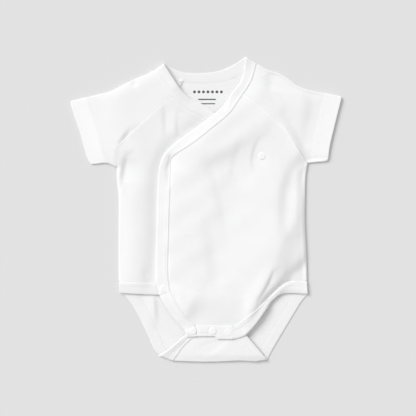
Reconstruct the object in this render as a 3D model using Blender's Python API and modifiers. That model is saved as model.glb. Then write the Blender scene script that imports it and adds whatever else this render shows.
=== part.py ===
"""A baby bodysuit laid flat on its back: raglan sleeves, wrap front, bound edges and a snapped crotch.

Lengths are in millimetres until to_object writes them in metres. X runs to the right as seen from
above, Y towards the neck and Z up. The origin lies under the middle of the garment, on the surface
that it rests on. Every cloth piece is an open sheet through the middle of the cloth, given its
thickness by a Solidify modifier. A seam line is shared by the two pieces that meet there, and each
piece stops half a seam gap short of it.
"""

import math

import bmesh
import bpy
import numpy as np
from mathutils import Vector
from mathutils.geometry import delaunay_2d_cdt

MILLIMETRE = 0.001

# Driving dimensions.
CLOTH = 1.0  # thickness of a panel
BINDING = 1.8  # thickness of a binding: the knit strip and the edge folded into it
SEAM_GAP = 0.3  # between pieces that meet at a seam, and between layers pressed together at a fold
PANEL_STEP = 13.0  # grid of a panel's sheet
OVER_STEP = 9.5  # the same on the over front, which carries the largest folds
BAND_STEP = 9.0  # spacing of the rows across a binding
CORNER_TRIM = 0.5  # taken off each end of a seam edge, so that neighbours clear each other at corners
FOLD_TRIM = 2.2  # the same where the edge runs on to a fold
FOLD_END_TRIM = 1.6  # taken off each end of the fold itself
SNAP_RADIUS = 4.2
SNAP_HEIGHT = 1.6
SNAP_STEPS = 16
TURN_STEPS = 4  # steps of the cloth's half turn over an edge
GRID_MARGIN = 0.55  # how far a sheet's inner points stay from its outline, as a share of its grid
MERGE = 0.01  # points of a sheet this near are one point

# Radii of the middle of the cloth where it turns over an edge.
CLOTH_FOLD_RADIUS = (CLOTH + SEAM_GAP) / 2
BINDING_FOLD_RADIUS = (BINDING + SEAM_GAP) / 2
CREASE_INSET = BINDING_FOLD_RADIUS + BINDING / 2

# Heights of the middle of the cloth.
BACK_HEIGHT = CLOTH / 2
BACK_BINDING_HEIGHT = BINDING / 2
SECOND_HEIGHT = BACK_HEIGHT + CLOTH + SEAM_GAP  # a panel pressed on the back panel
SECOND_BINDING_HEIGHT = BACK_BINDING_HEIGHT + BINDING + SEAM_GAP
UNDER_SWELL = 1.2  # how far the under front rises inside its closed edges
UNDER_REACH = 12.0  # and how far inside
OVER_SWELL = 3.4  # the same for the over front, which also clears the under front's bindings
OVER_REACH = 13.0

# Edges where the cloth is closed, and the cuffs: columns x, y.
SHOULDER_LEFT = ((-58.3, 155.4), (-77.5, 146.5), (-107.5, 132.5), (-133.5, 125), (-151.6, 120.5))
SHOULDER_RIGHT = (
    (56.6, 162.5),
    (68.5, 154.5),
    (82, 150),
    (92, 145),
    (101, 139),
    (133, 130.5),
    (151.6, 125.7),
)
CUFF_LEFT = ((-151.6, 120.5), (-141.5, 84), (-130.4, 51.9))
CUFF_RIGHT = ((151.6, 125.7), (142.5, 86), (136.5, 55))
UNDERARM_LEFT = ((-130.4, 51.9), (-128, 50.4), (-112.5, 52), (-99.1, 46.4))
UNDERARM_RIGHT = ((136.5, 55), (134, 53.8), (118, 52), (113, 51))
SIDE_LEFT = ((-99.1, 46.4), (-99.4, 35), (-97.4, 17), (-97.4, -48), (-97.1, -81.2))
SIDE_RIGHT = ((113, 51), (112.4, 40), (112.4, -25), (112.4, -80.5))
CROTCH_FOLD = ((-39, -169), (-20, -169.9), (10, -170), (54, -170))

# Raglan seams, from the neck to the underarm: columns x, y.
RAGLAN_FRONT_LEFT = ((-38.2, 125.3), (-69, 98), (-96.5, 72), (-102.3, 66), (-103.3, 59), (-99.1, 46.4))
RAGLAN_FRONT_RIGHT = ((41.9, 128.8), (66, 109.5), (78, 99.5), (93.5, 82), (101.5, 68.5), (113, 51))
RAGLAN_BACK_LEFT = ((-27, 141.8), (-60, 101), (-88, 66), (-99.1, 46.4))
RAGLAN_BACK_RIGHT = ((31.5, 147.6), (70, 105), (98, 73), (113, 51))

# Bindings, one row for each section across the strip: columns outer x, outer y, seam x, seam y.
# Neck, from the hidden lower end on the under front to the fold at the left shoulder.
NECK_UNDER = (
    (70.5, -82.2, 58, -82.2),
    (70.5, -23, 58, -23),
    (69, 21.5, 56.5, 21.5),
    (67.5, 45.5, 55, 43.5),
    (63.5, 58.5, 52, 53),
    (55.5, 68.5, 47.5, 58.5),
    (37.5, 83, 30, 73),
    (17.5, 100, 10, 90),
    (3, 113, -4.5, 102.5),
    (-17.5, 124, -25, 113.5),
    (-28.5, 134, -38.2, 125.3),
    (-37.5, 147, -48, 137.5),
    (-47, 162.3, -58.3, 155.4),
)
# From the left shoulder round the back of the neck to the right shoulder.
NECK_BACK = (
    (-47, 162.3, -58.3, 155.4),
    (-37.5, 156, -45, 147),
    (-24.5, 153.5, -27, 141.8),
    (-1, 153.5, 0, 140.9),
    (17.5, 157, 21.5, 144),
    (31.5, 162.5, 38, 150.5),
    (44, 170, 56.6, 162.5),
)
# From the right shoulder down the edge of the over front to its lower corner.
NECK_OVER = (
    (44, 170, 56.6, 162.5),
    (40.6, 149, 51.8, 145),
    (36.5, 140, 47, 136),
    (28, 129, 37.2, 121.5),
    (18.5, 115, 27, 107),
    (-2.5, 97.5, 5.5, 88.5),
    (-22.6, 83, -15, 72.5),
    (-40.4, 68.6, -35, 59.5),
    (-48.4, 58.4, -38.3, 55),
    (-52.4, 45.5, -39.5, 45.5),
    (-54, 21.5, -40.6, 21.5),
    (-55.4, -23, -42.1, -23),
    (-55.4, -80, -42.9, -77),
    (-52, -95.5, -39.7, -91.3),
)
LEG_FRONT_LEFT = (
    (-52, -95.5, -39.7, -91.3),
    (-45, -108.5, -34, -102.3),
    (-35.5, -122, -25.6, -114.5),
    (-27, -131.5, -18, -122.8),
    (-22.6, -137, -12.3, -128.6),
    (-22, -142, -9.7, -141.5),
)
LEG_FRONT_RIGHT = (
    (30, -144.5, 30, -129.8),
    (41.8, -140.9, 35, -127),
    (49.5, -134, 40, -123),
    (58, -123.6, 48.5, -116),
    (65.8, -112.5, 56, -108),
    (73.5, -102.2, 65, -97.5),
    (82, -95.3, 76, -87.5),
    (90, -93.6, 88, -81),
    (112.9, -94.4, 112.4, -80.5),
)
LEG_BACK_LEFT = (
    (-96.5, -93, -97.1, -81.2),
    (-87, -99, -79, -89.5),
    (-77.6, -115.2, -66.8, -109),
    (-63.8, -140.6, -52.7, -134.8),
    (-57, -156, -45, -152.5),
    (-52.5, -163, -39, -169),
)
FLAP_LEFT = (
    (-52.5, -163, -39, -169),
    (-40, -154, -31, -161.5),
    (-30, -145.3, -24, -152.2),
    (-16, -133, -10, -140),
    (-13.7, -131, 0.6, -131),
)
LEG_BACK_RIGHT = (
    (113.4, -94.5, 112.4, -80.5),
    (106.5, -103.5, 96.9, -95.5),
    (98.5, -117.5, 87.7, -111.2),
    (82, -145, 71.3, -138.5),
    (73, -160, 62, -154),
    (68.5, -167.8, 54, -170),
)
FLAP_RIGHT = (
    (68.5, -167.8, 54, -170),
    (58, -155.5, 47.5, -162.5),
    (45.8, -141.3, 36.5, -149.8),
    (37, -131, 21, -131),
)
HEM = (
    (-96.5, -93.5, -97.1, -80.9),
    (-50, -95.6, -50, -81.6),
    (10, -95.6, 10, -82.3),
    (70.5, -95.4, 70.5, -82.6),
)
# The crotch band's lower edge has a small step where its right part hangs lower: columns x, y.
CROTCH_BAND_LOWER = ((-9.7, -141.5), (9.5, -141.3), (12.5, -144.5), (30, -144.5))
CROTCH_BAND_UPPER = ((30, -129.8), (10, -128.6), (-12.3, -128.6))

# The largest folds of the over front, as soft troughs where nothing but the back lies under it:
# columns from x, y, to x, y, half width, share of the cloth's rise that the trough takes away.
OVER_FOLDS = (
    (98, 54, 88, 28, 7, 0.6),
    (88, 28, 82, -6, 7, 0.6),
    (88, -76, 108, -54, 7, 0.7),
    (-12, -112, 32, -111, 10, 0.5),
)

UNDER_CORNER = (58, -82.6)  # where the hidden wrap edge of the under front meets its hem

# Snap caps: columns name, x, y, thickness of the cloth under the cap.
SNAPS = (
    ("snap_crotch_1", -15.2, -135.6, BINDING),
    ("snap_crotch_2", 7.5, -135.3, BINDING),
    ("snap_crotch_3", 24.6, -136.5, BINDING),
    ("snap_wrap", -47.4, -88.5, BINDING),
    ("snap_chest", 62.3, 59.3, CLOTH),
)

# Finishes: columns red, green, blue, roughness.
COTTON = (0.86, 0.86, 0.86, 0.9)
BINDING_COTTON = (0.88, 0.88, 0.88, 0.85)
SNAP_PLASTIC = (0.9, 0.9, 0.9, 0.35)


def smooth(table, step):
    """Points about one step apart on the smooth curve through a table's rows, its ends included."""
    rows = np.array(table, float)
    chords = np.maximum(
        np.hypot(*np.diff(rows[:, :2], axis=0).T), np.hypot(*np.diff(rows[:, -2:], axis=0).T)
    )
    knots = np.concatenate([[0], np.cumsum(np.sqrt(chords))])
    slopes = np.diff(rows, axis=0) / np.diff(knots)[:, None]
    before, after = np.diff(knots)[:-1, None], np.diff(knots)[1:, None]
    middle = (slopes[:-1] * after + slopes[1:] * before) / (before + after)
    tangents = np.vstack([slopes[:1], middle, slopes[-1:]])
    curve = []
    for start in range(len(rows) - 1):
        span = knots[start + 1] - knots[start]
        count = max(1, math.ceil(chords[start] / step))
        for t in np.arange(count) / count:
            curve.append(
                (2 * t**3 - 3 * t**2 + 1) * rows[start]
                + (t**3 - 2 * t**2 + t) * span * tangents[start]
                + (3 * t**2 - 2 * t**3) * rows[start + 1]
                + (t**3 - t**2) * span * tangents[start + 1]
            )
    return np.array(curve + [rows[-1]])


def normals(points):
    """Unit vectors to the left of the direction of travel."""
    along = np.gradient(points, axis=0)
    left = np.stack([-along[:, 1], along[:, 0]], axis=1)
    return left / np.linalg.norm(left, axis=1)[:, None]


def lengths_along(points):
    """How far along the polyline each of its points lies."""
    return np.concatenate([[0], np.cumsum(np.hypot(*np.diff(points, axis=0).T))])


def stretch(points, first, last, clear_first, clear_last):
    """The polyline from one length along it to a greater one, with no point near its new ends."""
    lengths = lengths_along(points)
    inside = (lengths > first + clear_first) & (lengths < last - clear_last)
    stops = np.concatenate([[first], lengths[inside], [last]])
    return np.stack([np.interp(stops, lengths, points[:, axis]) for axis in (0, 1)], axis=1)


def trimmed(points, at_start, at_end):
    """The polyline without these lengths at its ends."""
    last = lengths_along(points)[-1] - at_end
    return stretch(points, at_start, last, at_start / 2, at_end / 2)


def length_nearest(points, place):
    """How far along the polyline its spot nearest to a place lies."""
    steps = np.diff(points, axis=0)
    shares = np.clip(np.sum((place - points[:-1]) * steps, axis=1) / np.sum(steps**2, axis=1), 0, 1)
    gaps = np.hypot(*(points[:-1] + shares[:, None] * steps - place).T)
    nearest = np.argmin(gaps)
    return lengths_along(points)[nearest] + shares[nearest] * np.hypot(*steps[nearest])


def cut(points, start, end):
    """The stretch of a polyline between its spots nearest to start and end, run in that direction."""
    first, last = length_nearest(points, start), length_nearest(points, end)
    if first < last:
        return stretch(points, first, last, SEAM_GAP, SEAM_GAP)
    return stretch(points, last, first, SEAM_GAP, SEAM_GAP)[::-1]


def seam_edge(points, side=1, at_start=CORNER_TRIM, at_end=CORNER_TRIM):
    """The edge of a piece whose seam line this is, with the piece on its left if side is 1."""
    return trimmed(points + side * normals(points) * SEAM_GAP / 2, at_start, at_end)


def fold_edge(points, side=1):
    """Where a panel starts to turn over a closed edge, with the panel on its left if side is 1."""
    inset = CLOTH_FOLD_RADIUS + CLOTH / 2
    return trimmed(points + side * normals(points) * inset, FOLD_END_TRIM, FOLD_END_TRIM)


def distance(points, polylines):
    """How far each point is from the nearest of the polylines."""
    nearest = np.full(len(points), np.inf)
    for line in polylines:
        for start, end in zip(line[:-1], line[1:]):
            along = end - start
            share = np.clip((points - start) @ along / (along @ along), 0, 1)
            nearest = np.minimum(nearest, np.hypot(*(points - start - share[:, None] * along).T))
    return nearest


def swelling(closed_edges, swell, reach, folds=()):
    """The height of a front layer: low at its closed edges and in the troughs of its folds."""
    lines = [smooth(edge, PANEL_STEP) for edge in closed_edges]

    def height(points):
        inside = np.maximum(distance(points, lines) - CLOTH, 0)
        rise = swell * (1 - np.exp(-inside / reach))
        for from_x, from_y, to_x, to_y, half_width, share in folds:
            trough = [np.array([[from_x, from_y], [to_x, to_y]], float)]
            rise = rise * (1 - share * np.exp(-((distance(points, trough) / half_width) ** 2)))
        return SECOND_HEIGHT + rise

    return height


def level(height):
    return lambda points: np.full(len(points), height)


def at_least(lowest, height):
    return lambda points: np.maximum(lowest, height(points))


def triangulated(outline, step):
    """A fine even triangulation inside a closed outline: its points and faces."""
    low, high = outline.min(axis=0), outline.max(axis=0)
    row_step = step * math.sqrt(3) / 2
    grid = []
    for row, y in enumerate(np.arange(low[1] + row_step, high[1], row_step)):
        for x in np.arange(low[0] + step * (0.5 + 0.5 * (row % 2)), high[0], step):
            grid.append((x, y))
    grid = np.array(grid)
    closed = np.vstack([outline, outline[:1]])
    grid = grid[distance(grid, [closed]) > GRID_MARGIN * step]
    points = [Vector(point) for point in np.vstack([outline, grid])]
    count = len(outline)
    edges = [(i, (i + 1) % count) for i in range(count)]
    found, _, faces, *_ = delaunay_2d_cdt(points, edges, [], 1, MERGE)
    used, corners = np.unique(np.array(faces), return_inverse=True)
    return np.array([point[:] for point in found])[used], corners.reshape(-1, 3).tolist()


class Sheet:
    """The open surface through the middle of one piece of cloth, built up from its layers."""

    def __init__(self):
        self.points = []
        self.faces = []

    def add(self, points, heights, faces):
        first = len(self.points)
        self.points += [(x, y, z) for (x, y), z in zip(points, heights)]
        self.faces += [[first + corner for corner in face] for face in faces]

    def add_layer(self, outline, height, step):
        points, faces = triangulated(outline, step)
        self.add(points, height(points), faces)

    def add_rows(self, rows):
        """Joins rows of as many points each, given as arrays of x, y, z, with quads."""
        wide = len(rows[0])
        faces = [
            (i * wide + j, i * wide + j + 1, (i + 1) * wide + j + 1, (i + 1) * wide + j)
            for i in range(len(rows) - 1)
            for j in range(wide - 1)
        ]
        points = np.vstack(rows)
        self.add(points[:, :2], points[:, 2], faces)


def turn_over(low_row, high_row, outward, radius):
    """Rows that carry cloth round a closed edge, from its lower layer's row to its upper layer's."""
    rows = []
    for step in range(1, TURN_STEPS):
        angle = math.pi * (step / TURN_STEPS - 0.5)
        row = low_row + (high_row - low_row) * (1 + math.sin(angle)) / 2
        row[:, :2] += outward * radius * math.cos(angle)
        rows.append(row)
    return rows


def with_heights(points, height):
    return np.column_stack([points, height(points)])


def band_rows(sections, height):
    """Rows of three points across a binding, at its sections and between them."""
    rows = []
    curve = smooth(sections, BAND_STEP)
    for section, normal in zip(curve, normals(curve[:, 2:])):
        outer, seam = section[:2], section[2:]
        seam = seam + (outer - seam) * SEAM_GAP / 2 / abs((outer - seam) @ normal)
        rows.append(with_heights(np.array([outer, (outer + seam) / 2, seam]), height))
    return rows


def shortened(sections, length, at_start):
    """The sections with the first or last one moved this far along the strip, clear of a neighbour."""
    rows = [list(map(float, section)) for section in sections]
    index, inner = (0, 1) if at_start else (-1, -2)
    for column in (0, 2):
        end = np.array(rows[index][column : column + 2])
        towards = np.array(rows[inner][column : column + 2]) - end
        end += towards / np.linalg.norm(towards) * length
        rows[index][column : column + 2] = end
    return rows


def crease_outward(section, inside_point):
    """The unit vector that points out over a binding's crease, away from a point of the garment."""
    along = np.array([section[0] - section[2], section[1] - section[3]], float)
    across = np.array([-along[1], along[0]]) / np.linalg.norm(along)
    away = np.array([section[0], section[1]], float) - inside_point
    return across if across @ away > 0 else -across


def to_object(name, sheet, thickness, finish, collection):
    """Makes the sheet a mesh object, welded along its layers' shared edges and given its thickness."""
    mesh = bpy.data.meshes.new(name)
    mesh.from_pydata((np.array(sheet.points) * MILLIMETRE).tolist(), [], sheet.faces)
    shape = bmesh.new()
    shape.from_mesh(mesh)
    bmesh.ops.remove_doubles(shape, verts=shape.verts, dist=MERGE * MILLIMETRE)
    bmesh.ops.recalc_face_normals(shape, faces=shape.faces)
    shape.to_mesh(mesh)
    shape.free()
    piece = bpy.data.objects.new(name, mesh)
    collection.objects.link(piece)
    mesh.materials.append(material(name, finish))
    mesh.shade_smooth()
    wall = piece.modifiers.new("cloth thickness", "SOLIDIFY")
    wall.thickness = thickness * MILLIMETRE
    wall.offset = 0
    return piece


def material(name, finish):
    made = bpy.data.materials.new(name)
    made.use_nodes = True
    shader = made.node_tree.nodes["Principled BSDF"]
    red, green, blue, roughness = finish
    shader.inputs["Base Color"].default_value = (red, green, blue, 1)
    shader.inputs["Roughness"].default_value = roughness
    made.diffuse_color = (red, green, blue, 1)
    return made


def seam_line(sections):
    """The seam side of a binding, as a curve."""
    return smooth(sections, BAND_STEP)[:, 2:]


def back_panel(collection):
    """The back, flat on the surface, with its crotch flap folded up over the lower edge."""
    neck = cut(seam_line(NECK_BACK), RAGLAN_BACK_LEFT[0], RAGLAN_BACK_RIGHT[0])
    fold = fold_edge(smooth(CROTCH_FOLD, PANEL_STEP))
    sheet = Sheet()
    lower = np.vstack([
        seam_edge(smooth(RAGLAN_BACK_LEFT, PANEL_STEP), at_end=FOLD_TRIM),
        seam_edge(smooth(SIDE_LEFT, PANEL_STEP)),
        seam_edge(seam_line(LEG_BACK_LEFT), at_end=FOLD_TRIM),
        fold,
        seam_edge(seam_line(LEG_BACK_RIGHT)[::-1], at_start=FOLD_TRIM),
        seam_edge(smooth(SIDE_RIGHT, PANEL_STEP)[::-1]),
        seam_edge(smooth(RAGLAN_BACK_RIGHT, PANEL_STEP)[::-1], at_start=FOLD_TRIM),
        seam_edge(neck[::-1]),
    ])
    flap = np.vstack([
        fold,
        seam_edge(seam_line(FLAP_RIGHT), at_start=FOLD_TRIM),
        seam_edge(seam_line(FLAP_LEFT)[::-1], at_end=FOLD_TRIM),
    ])
    sheet.add_layer(lower, level(BACK_HEIGHT), PANEL_STEP)
    sheet.add_layer(flap, level(SECOND_HEIGHT), PANEL_STEP)
    low_row = with_heights(fold, level(BACK_HEIGHT))
    high_row = with_heights(fold, level(SECOND_HEIGHT))
    outward = -normals(fold)
    sheet.add_rows([low_row, *turn_over(low_row, high_row, outward, CLOTH_FOLD_RADIUS), high_row])
    to_object("back_panel", sheet, CLOTH, COTTON, collection)


def front_under(collection, height):
    """The front sewn into the left side, hidden under the over front on the right."""
    wrap = cut(seam_line(NECK_UNDER), NECK_UNDER[0][2:], RAGLAN_FRONT_LEFT[0])
    hem = cut(seam_line(HEM), HEM[0][2:], UNDER_CORNER)
    outline = np.vstack([
        seam_edge(smooth(RAGLAN_FRONT_LEFT, PANEL_STEP), at_end=FOLD_TRIM),
        seam_edge(smooth(SIDE_LEFT, PANEL_STEP)),
        seam_edge(hem),
        seam_edge(wrap),
    ])
    sheet = Sheet()
    sheet.add_layer(outline, height, PANEL_STEP)
    to_object("front_under", sheet, CLOTH, COTTON, collection)


def front_over(collection, height):
    """The front sewn into the right side, from its raglan seam down to the crotch band."""
    wrap = cut(seam_line(NECK_OVER), RAGLAN_FRONT_RIGHT[0], NECK_OVER[-1][2:])
    leg = cut(seam_line(LEG_FRONT_LEFT), LEG_FRONT_LEFT[0][2:], CROTCH_BAND_UPPER[-1])
    outline = np.vstack([
        seam_edge(np.vstack([wrap, leg[1:]])),
        seam_edge(smooth(CROTCH_BAND_UPPER, BAND_STEP)[::-1]),
        seam_edge(seam_line(LEG_FRONT_RIGHT)),
        seam_edge(smooth(SIDE_RIGHT, PANEL_STEP)[::-1]),
        seam_edge(smooth(RAGLAN_FRONT_RIGHT, PANEL_STEP)[::-1], at_start=FOLD_TRIM),
    ])
    sheet = Sheet()
    sheet.add_layer(outline, height, OVER_STEP)
    to_object("front_over", sheet, CLOTH, COTTON, collection)


def sleeve(name, collection, height, side, lines):
    """A raglan sleeve pressed flat: folded along the shoulder and the underarm, open at cuff and body.

    lines holds its shoulder, cuff, underarm, front raglan, front neck, back raglan and back neck.
    Going along the shoulder to the cuff, the sleeve is on the left if side is 1, else on the right.
    """
    shoulder, cuff, underarm, front_raglan, front_neck, back_raglan, back_neck = lines
    folds = [fold_edge(shoulder, side), fold_edge(underarm, side)]
    cuff_edge = seam_edge(cuff, side, FOLD_TRIM, FOLD_TRIM)
    sheet = Sheet()
    layers = ((level(BACK_HEIGHT), back_raglan, back_neck), (height, front_raglan, front_neck))
    for layer_height, raglan, neck in layers:
        raglan_edge = seam_edge(raglan[::-1], side, at_start=FOLD_TRIM)
        neck_edge = seam_edge(neck, side, at_end=FOLD_TRIM)
        outline = np.vstack([folds[0], cuff_edge, folds[1], raglan_edge, neck_edge])
        sheet.add_layer(outline, layer_height, PANEL_STEP)
    for fold in folds:
        low_row = with_heights(fold, level(BACK_HEIGHT))
        high_row = with_heights(fold, height)
        turned = turn_over(low_row, high_row, -side * normals(fold), CLOTH_FOLD_RADIUS)
        sheet.add_rows([low_row, *turned, high_row])
    to_object(name, sheet, CLOTH, COTTON, collection)


def sleeves(collection, under_height, over_height):
    left = (
        smooth(SHOULDER_LEFT, PANEL_STEP),
        smooth(CUFF_LEFT, PANEL_STEP),
        smooth(UNDERARM_LEFT, PANEL_STEP),
        smooth(RAGLAN_FRONT_LEFT, PANEL_STEP),
        cut(seam_line(NECK_UNDER), RAGLAN_FRONT_LEFT[0], SHOULDER_LEFT[0]),
        smooth(RAGLAN_BACK_LEFT, PANEL_STEP),
        cut(seam_line(NECK_BACK), RAGLAN_BACK_LEFT[0], SHOULDER_LEFT[0]),
    )
    right = (
        smooth(SHOULDER_RIGHT, PANEL_STEP),
        smooth(CUFF_RIGHT, PANEL_STEP),
        smooth(UNDERARM_RIGHT, PANEL_STEP),
        smooth(RAGLAN_FRONT_RIGHT, PANEL_STEP),
        cut(seam_line(NECK_OVER), RAGLAN_FRONT_RIGHT[0], SHOULDER_RIGHT[0]),
        smooth(RAGLAN_BACK_RIGHT, PANEL_STEP),
        cut(seam_line(NECK_BACK), RAGLAN_BACK_RIGHT[0], SHOULDER_RIGHT[0]),
    )
    sleeve("sleeve_left", collection, under_height, 1, left)
    sleeve("sleeve_right", collection, over_height, -1, right)


def creased_band(name, collection, stretches, creases):
    """A binding that turns over at creases.

    stretches is a list of (sections, height, the stretch starts at a crease, it ends at one), and
    creases a list of the points of the garment from which each crease faces away.
    """
    rows = []
    for index, (sections, height, starts, ends) in enumerate(stretches):
        if starts:
            sections = shortened(sections, CREASE_INSET, True)
        if ends:
            sections = shortened(sections, CREASE_INSET, False)
        next_rows = band_rows(sections, height)
        if index:
            outward = crease_outward(stretches[index][0][0], creases[index - 1])
            rows += turn_over(rows[-1], next_rows[0], outward, BINDING_FOLD_RADIUS)
        rows += next_rows
    sheet = Sheet()
    sheet.add_rows(rows)
    to_object(name, sheet, BINDING, BINDING_COTTON, collection)


def bindings(collection, under_height, over_height):
    back = level(BACK_BINDING_HEIGHT)
    flap = level(SECOND_BINDING_HEIGHT)
    under = at_least(SECOND_BINDING_HEIGHT, under_height)
    over = at_least(SECOND_BINDING_HEIGHT, over_height)
    middle = np.zeros(2)
    wrap = shortened(NECK_OVER, SEAM_GAP / 2, False)
    neck = [(NECK_UNDER, under, False, True), (NECK_BACK, back, True, True), (wrap, over, True, False)]
    creased_band("neck_binding", collection, neck, [middle, middle])
    left = [(LEG_BACK_LEFT, back, False, True), (FLAP_LEFT, flap, True, False)]
    creased_band("leg_binding_back_left", collection, left, [middle])
    right = [(LEG_BACK_RIGHT, back, False, True), (FLAP_RIGHT, flap, True, False)]
    creased_band("leg_binding_back_right", collection, right, [middle])
    creased_band("hem_binding", collection, [(HEM, under, False, False)], [])
    leg_left = shortened(LEG_FRONT_LEFT, SEAM_GAP / 2, True)
    creased_band("leg_binding_front_left", collection, [(leg_left, over, False, False)], [])
    leg_right = shortened(LEG_FRONT_RIGHT, SEAM_GAP / 2, True)
    creased_band("leg_binding_front_right", collection, [(leg_right, over, False, False)], [])


def crotch_band(collection, height):
    """The band along the end of the over front, between the two leg bindings."""
    lower = np.array(CROTCH_BAND_LOWER, float)
    left_end = cut(seam_line(LEG_FRONT_LEFT), CROTCH_BAND_UPPER[-1], CROTCH_BAND_LOWER[0])
    outline = np.vstack([
        seam_edge(left_end),
        seam_edge(lower),
        seam_edge(np.array([CROTCH_BAND_LOWER[-1], CROTCH_BAND_UPPER[0]], float)),
        seam_edge(smooth(CROTCH_BAND_UPPER, BAND_STEP)),
    ])
    sheet = Sheet()
    sheet.add_layer(outline, height, BAND_STEP)
    to_object("crotch_band", sheet, BINDING, BINDING_COTTON, collection)


def snap_cap(name, collection, x, y, seat):
    """A round domed cap, turned about its own axis and set down on its seat."""
    profile = ((0, 1), (0.52, 0.92), (0.86, 0.64), (1, 0.28), (1, 0), (0, 0))  # shares of radius, height
    mesh = bpy.data.meshes.new(name)
    points = [(SNAP_RADIUS * r * MILLIMETRE, 0, SNAP_HEIGHT * h * MILLIMETRE) for r, h in profile]
    mesh.from_pydata(points, [(i, i + 1) for i in range(len(points) - 1)], [])
    cap = bpy.data.objects.new(name, mesh)
    cap.location = (x * MILLIMETRE, y * MILLIMETRE, seat * MILLIMETRE)
    collection.objects.link(cap)
    mesh.materials.append(material(name, SNAP_PLASTIC))
    turned = cap.modifiers.new("turned profile", "SCREW")
    turned.steps = SNAP_STEPS
    turned.render_steps = SNAP_STEPS
    turned.use_merge_vertices = True
    turned.merge_threshold = MERGE * MILLIMETRE
    turned.use_smooth_shade = True


def snaps(collection, height):
    for name, x, y, cloth in SNAPS:
        seat = height(np.array([[x, y]]))[0] + cloth / 2 + SEAM_GAP
        snap_cap(name, collection, x, y, seat)


def main():
    for leftover in list(bpy.data.objects):
        bpy.data.objects.remove(leftover, do_unlink=True)
    collection = bpy.data.collections.new("baby_bodysuit")
    bpy.context.scene.collection.children.link(collection)
    left_edges = (SHOULDER_LEFT, UNDERARM_LEFT, SIDE_LEFT)
    right_edges = (SHOULDER_RIGHT, UNDERARM_RIGHT, SIDE_RIGHT)
    under_height = swelling(left_edges, UNDER_SWELL, UNDER_REACH)
    over_height = swelling(right_edges, OVER_SWELL, OVER_REACH, OVER_FOLDS)
    back_panel(collection)
    front_under(collection, under_height)
    front_over(collection, over_height)
    sleeves(collection, under_height, over_height)
    bindings(collection, under_height, over_height)
    crotch_band(collection, over_height)
    snaps(collection, over_height)


if __name__ == "__main__":
    main()
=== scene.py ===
"""A white baby bodysuit with a wrap front, laid flat on its back: its cloth, stitches, snaps and studio.

Lengths are in millimetres until solid() and its like write them in metres. X runs to the right as seen
from above, Y towards the neck and Z up, and the garment lies on z = 0. Each piece of cloth is described
by the surface through its middle and by how far its outside and inside faces lie from that surface. The
lie of the layers on each other, with their folds, is in Lay, and every piece takes its heights from it.
"""

from __future__ import annotations

import logging
import math
from dataclasses import dataclass, field
from enum import Enum
from typing import Callable

import bmesh
import bpy
import numpy as np
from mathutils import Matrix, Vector
from mathutils.bvhtree import BVHTree
from mathutils.geometry import delaunay_2d_cdt

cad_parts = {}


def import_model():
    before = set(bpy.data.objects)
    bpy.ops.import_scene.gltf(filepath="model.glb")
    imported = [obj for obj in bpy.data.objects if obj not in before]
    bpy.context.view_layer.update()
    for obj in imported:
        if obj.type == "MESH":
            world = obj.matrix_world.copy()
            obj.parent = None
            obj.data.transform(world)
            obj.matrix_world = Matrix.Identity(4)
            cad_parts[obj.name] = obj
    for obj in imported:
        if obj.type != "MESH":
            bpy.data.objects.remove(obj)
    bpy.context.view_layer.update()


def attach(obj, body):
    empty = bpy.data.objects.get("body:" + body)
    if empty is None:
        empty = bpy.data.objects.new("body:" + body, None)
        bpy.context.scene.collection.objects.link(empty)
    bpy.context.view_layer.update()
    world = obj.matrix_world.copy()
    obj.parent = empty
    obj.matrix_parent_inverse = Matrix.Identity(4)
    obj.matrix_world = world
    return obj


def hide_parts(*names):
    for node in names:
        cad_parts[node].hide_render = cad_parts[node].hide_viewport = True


LOG = logging.getLogger("bodysuit")
METRES = 0.001  # metres in a millimetre
MERGE = 0.001  # points of one piece this near are one point
NEAREST = 0.3  # the points of an edge are kept this far apart
EDGE_STEP = 1.6  # between the points along a panel's edge
SEAM_STEP = 2.0  # between the points along the sides of a binding
ROW_STEP = 1.0  # between the points along a row of stitches
ROUGH_STEP = 4.0  # between the points of a curve from which a distance is measured
FOLD_STEP = 6.0  # between the points along a crease
DOUBLED = "doubled"  # the attribute that tells where a piece's cloth lies double
KNIT_MAP = "knit"  # the layer that holds a piece's flat coordinates

Array = np.ndarray
Piece = bpy.types.Object
Material = bpy.types.Material
Node = bpy.types.Node
Table = tuple[tuple[float, ...], ...]
Heights = Callable[[Array], Array]

# Edges where the cloth is closed, and the cuffs: columns x, y.
SHOULDER_LEFT: Table = (
    (-58.3, 155.4), (-65.5, 151), (-77.5, 146), (-92, 139.2), (-107.5, 131.3), (-118.6, 128.4),
    (-133.5, 124.8), (-151.6, 120.5),
)
SHOULDER_RIGHT: Table = (
    (56.6, 162.5), (69, 155.4), (82, 151), (92, 145.5), (101, 138.6), (109.3, 134.4), (122.7, 131),
    (136, 128.8), (151.3, 125.7),
)
CUFF_LEFT: Table = (
    (-151.6, 120.5), (-147, 104), (-142.2, 90.8), (-138.1, 77.4), (-134.6, 64), (-130.4, 51.9),
)
CUFF_RIGHT: Table = ((151.3, 125.7), (146.9, 108.6), (142.5, 90.8), (138.3, 73), (136.3, 60), (136.2, 55))
UNDERARM_LEFT: Table = ((-130.4, 51.9), (-128, 50.4), (-112.5, 51.6), (-106.5, 50), (-99.1, 46.4))
UNDERARM_RIGHT: Table = ((136.2, 55), (134, 53.8), (118, 52), (113, 51))
SIDE_LEFT: Table = ((-99.1, 46.4), (-99.4, 35), (-97.4, 17), (-97.4, -48), (-97.1, -81.2))
SIDE_RIGHT: Table = (
    (113, 51), (111, 39), (110.2, 15), (109.9, -8), (110.4, -26), (111.4, -44), (111.9, -62),
    (112.4, -80.5),
)
CROTCH_FOLD: Table = ((-36.5, -169.2), (-20, -169.8), (0, -170.3), (22, -169.6), (38, -168.9), (54, -170))

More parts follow.
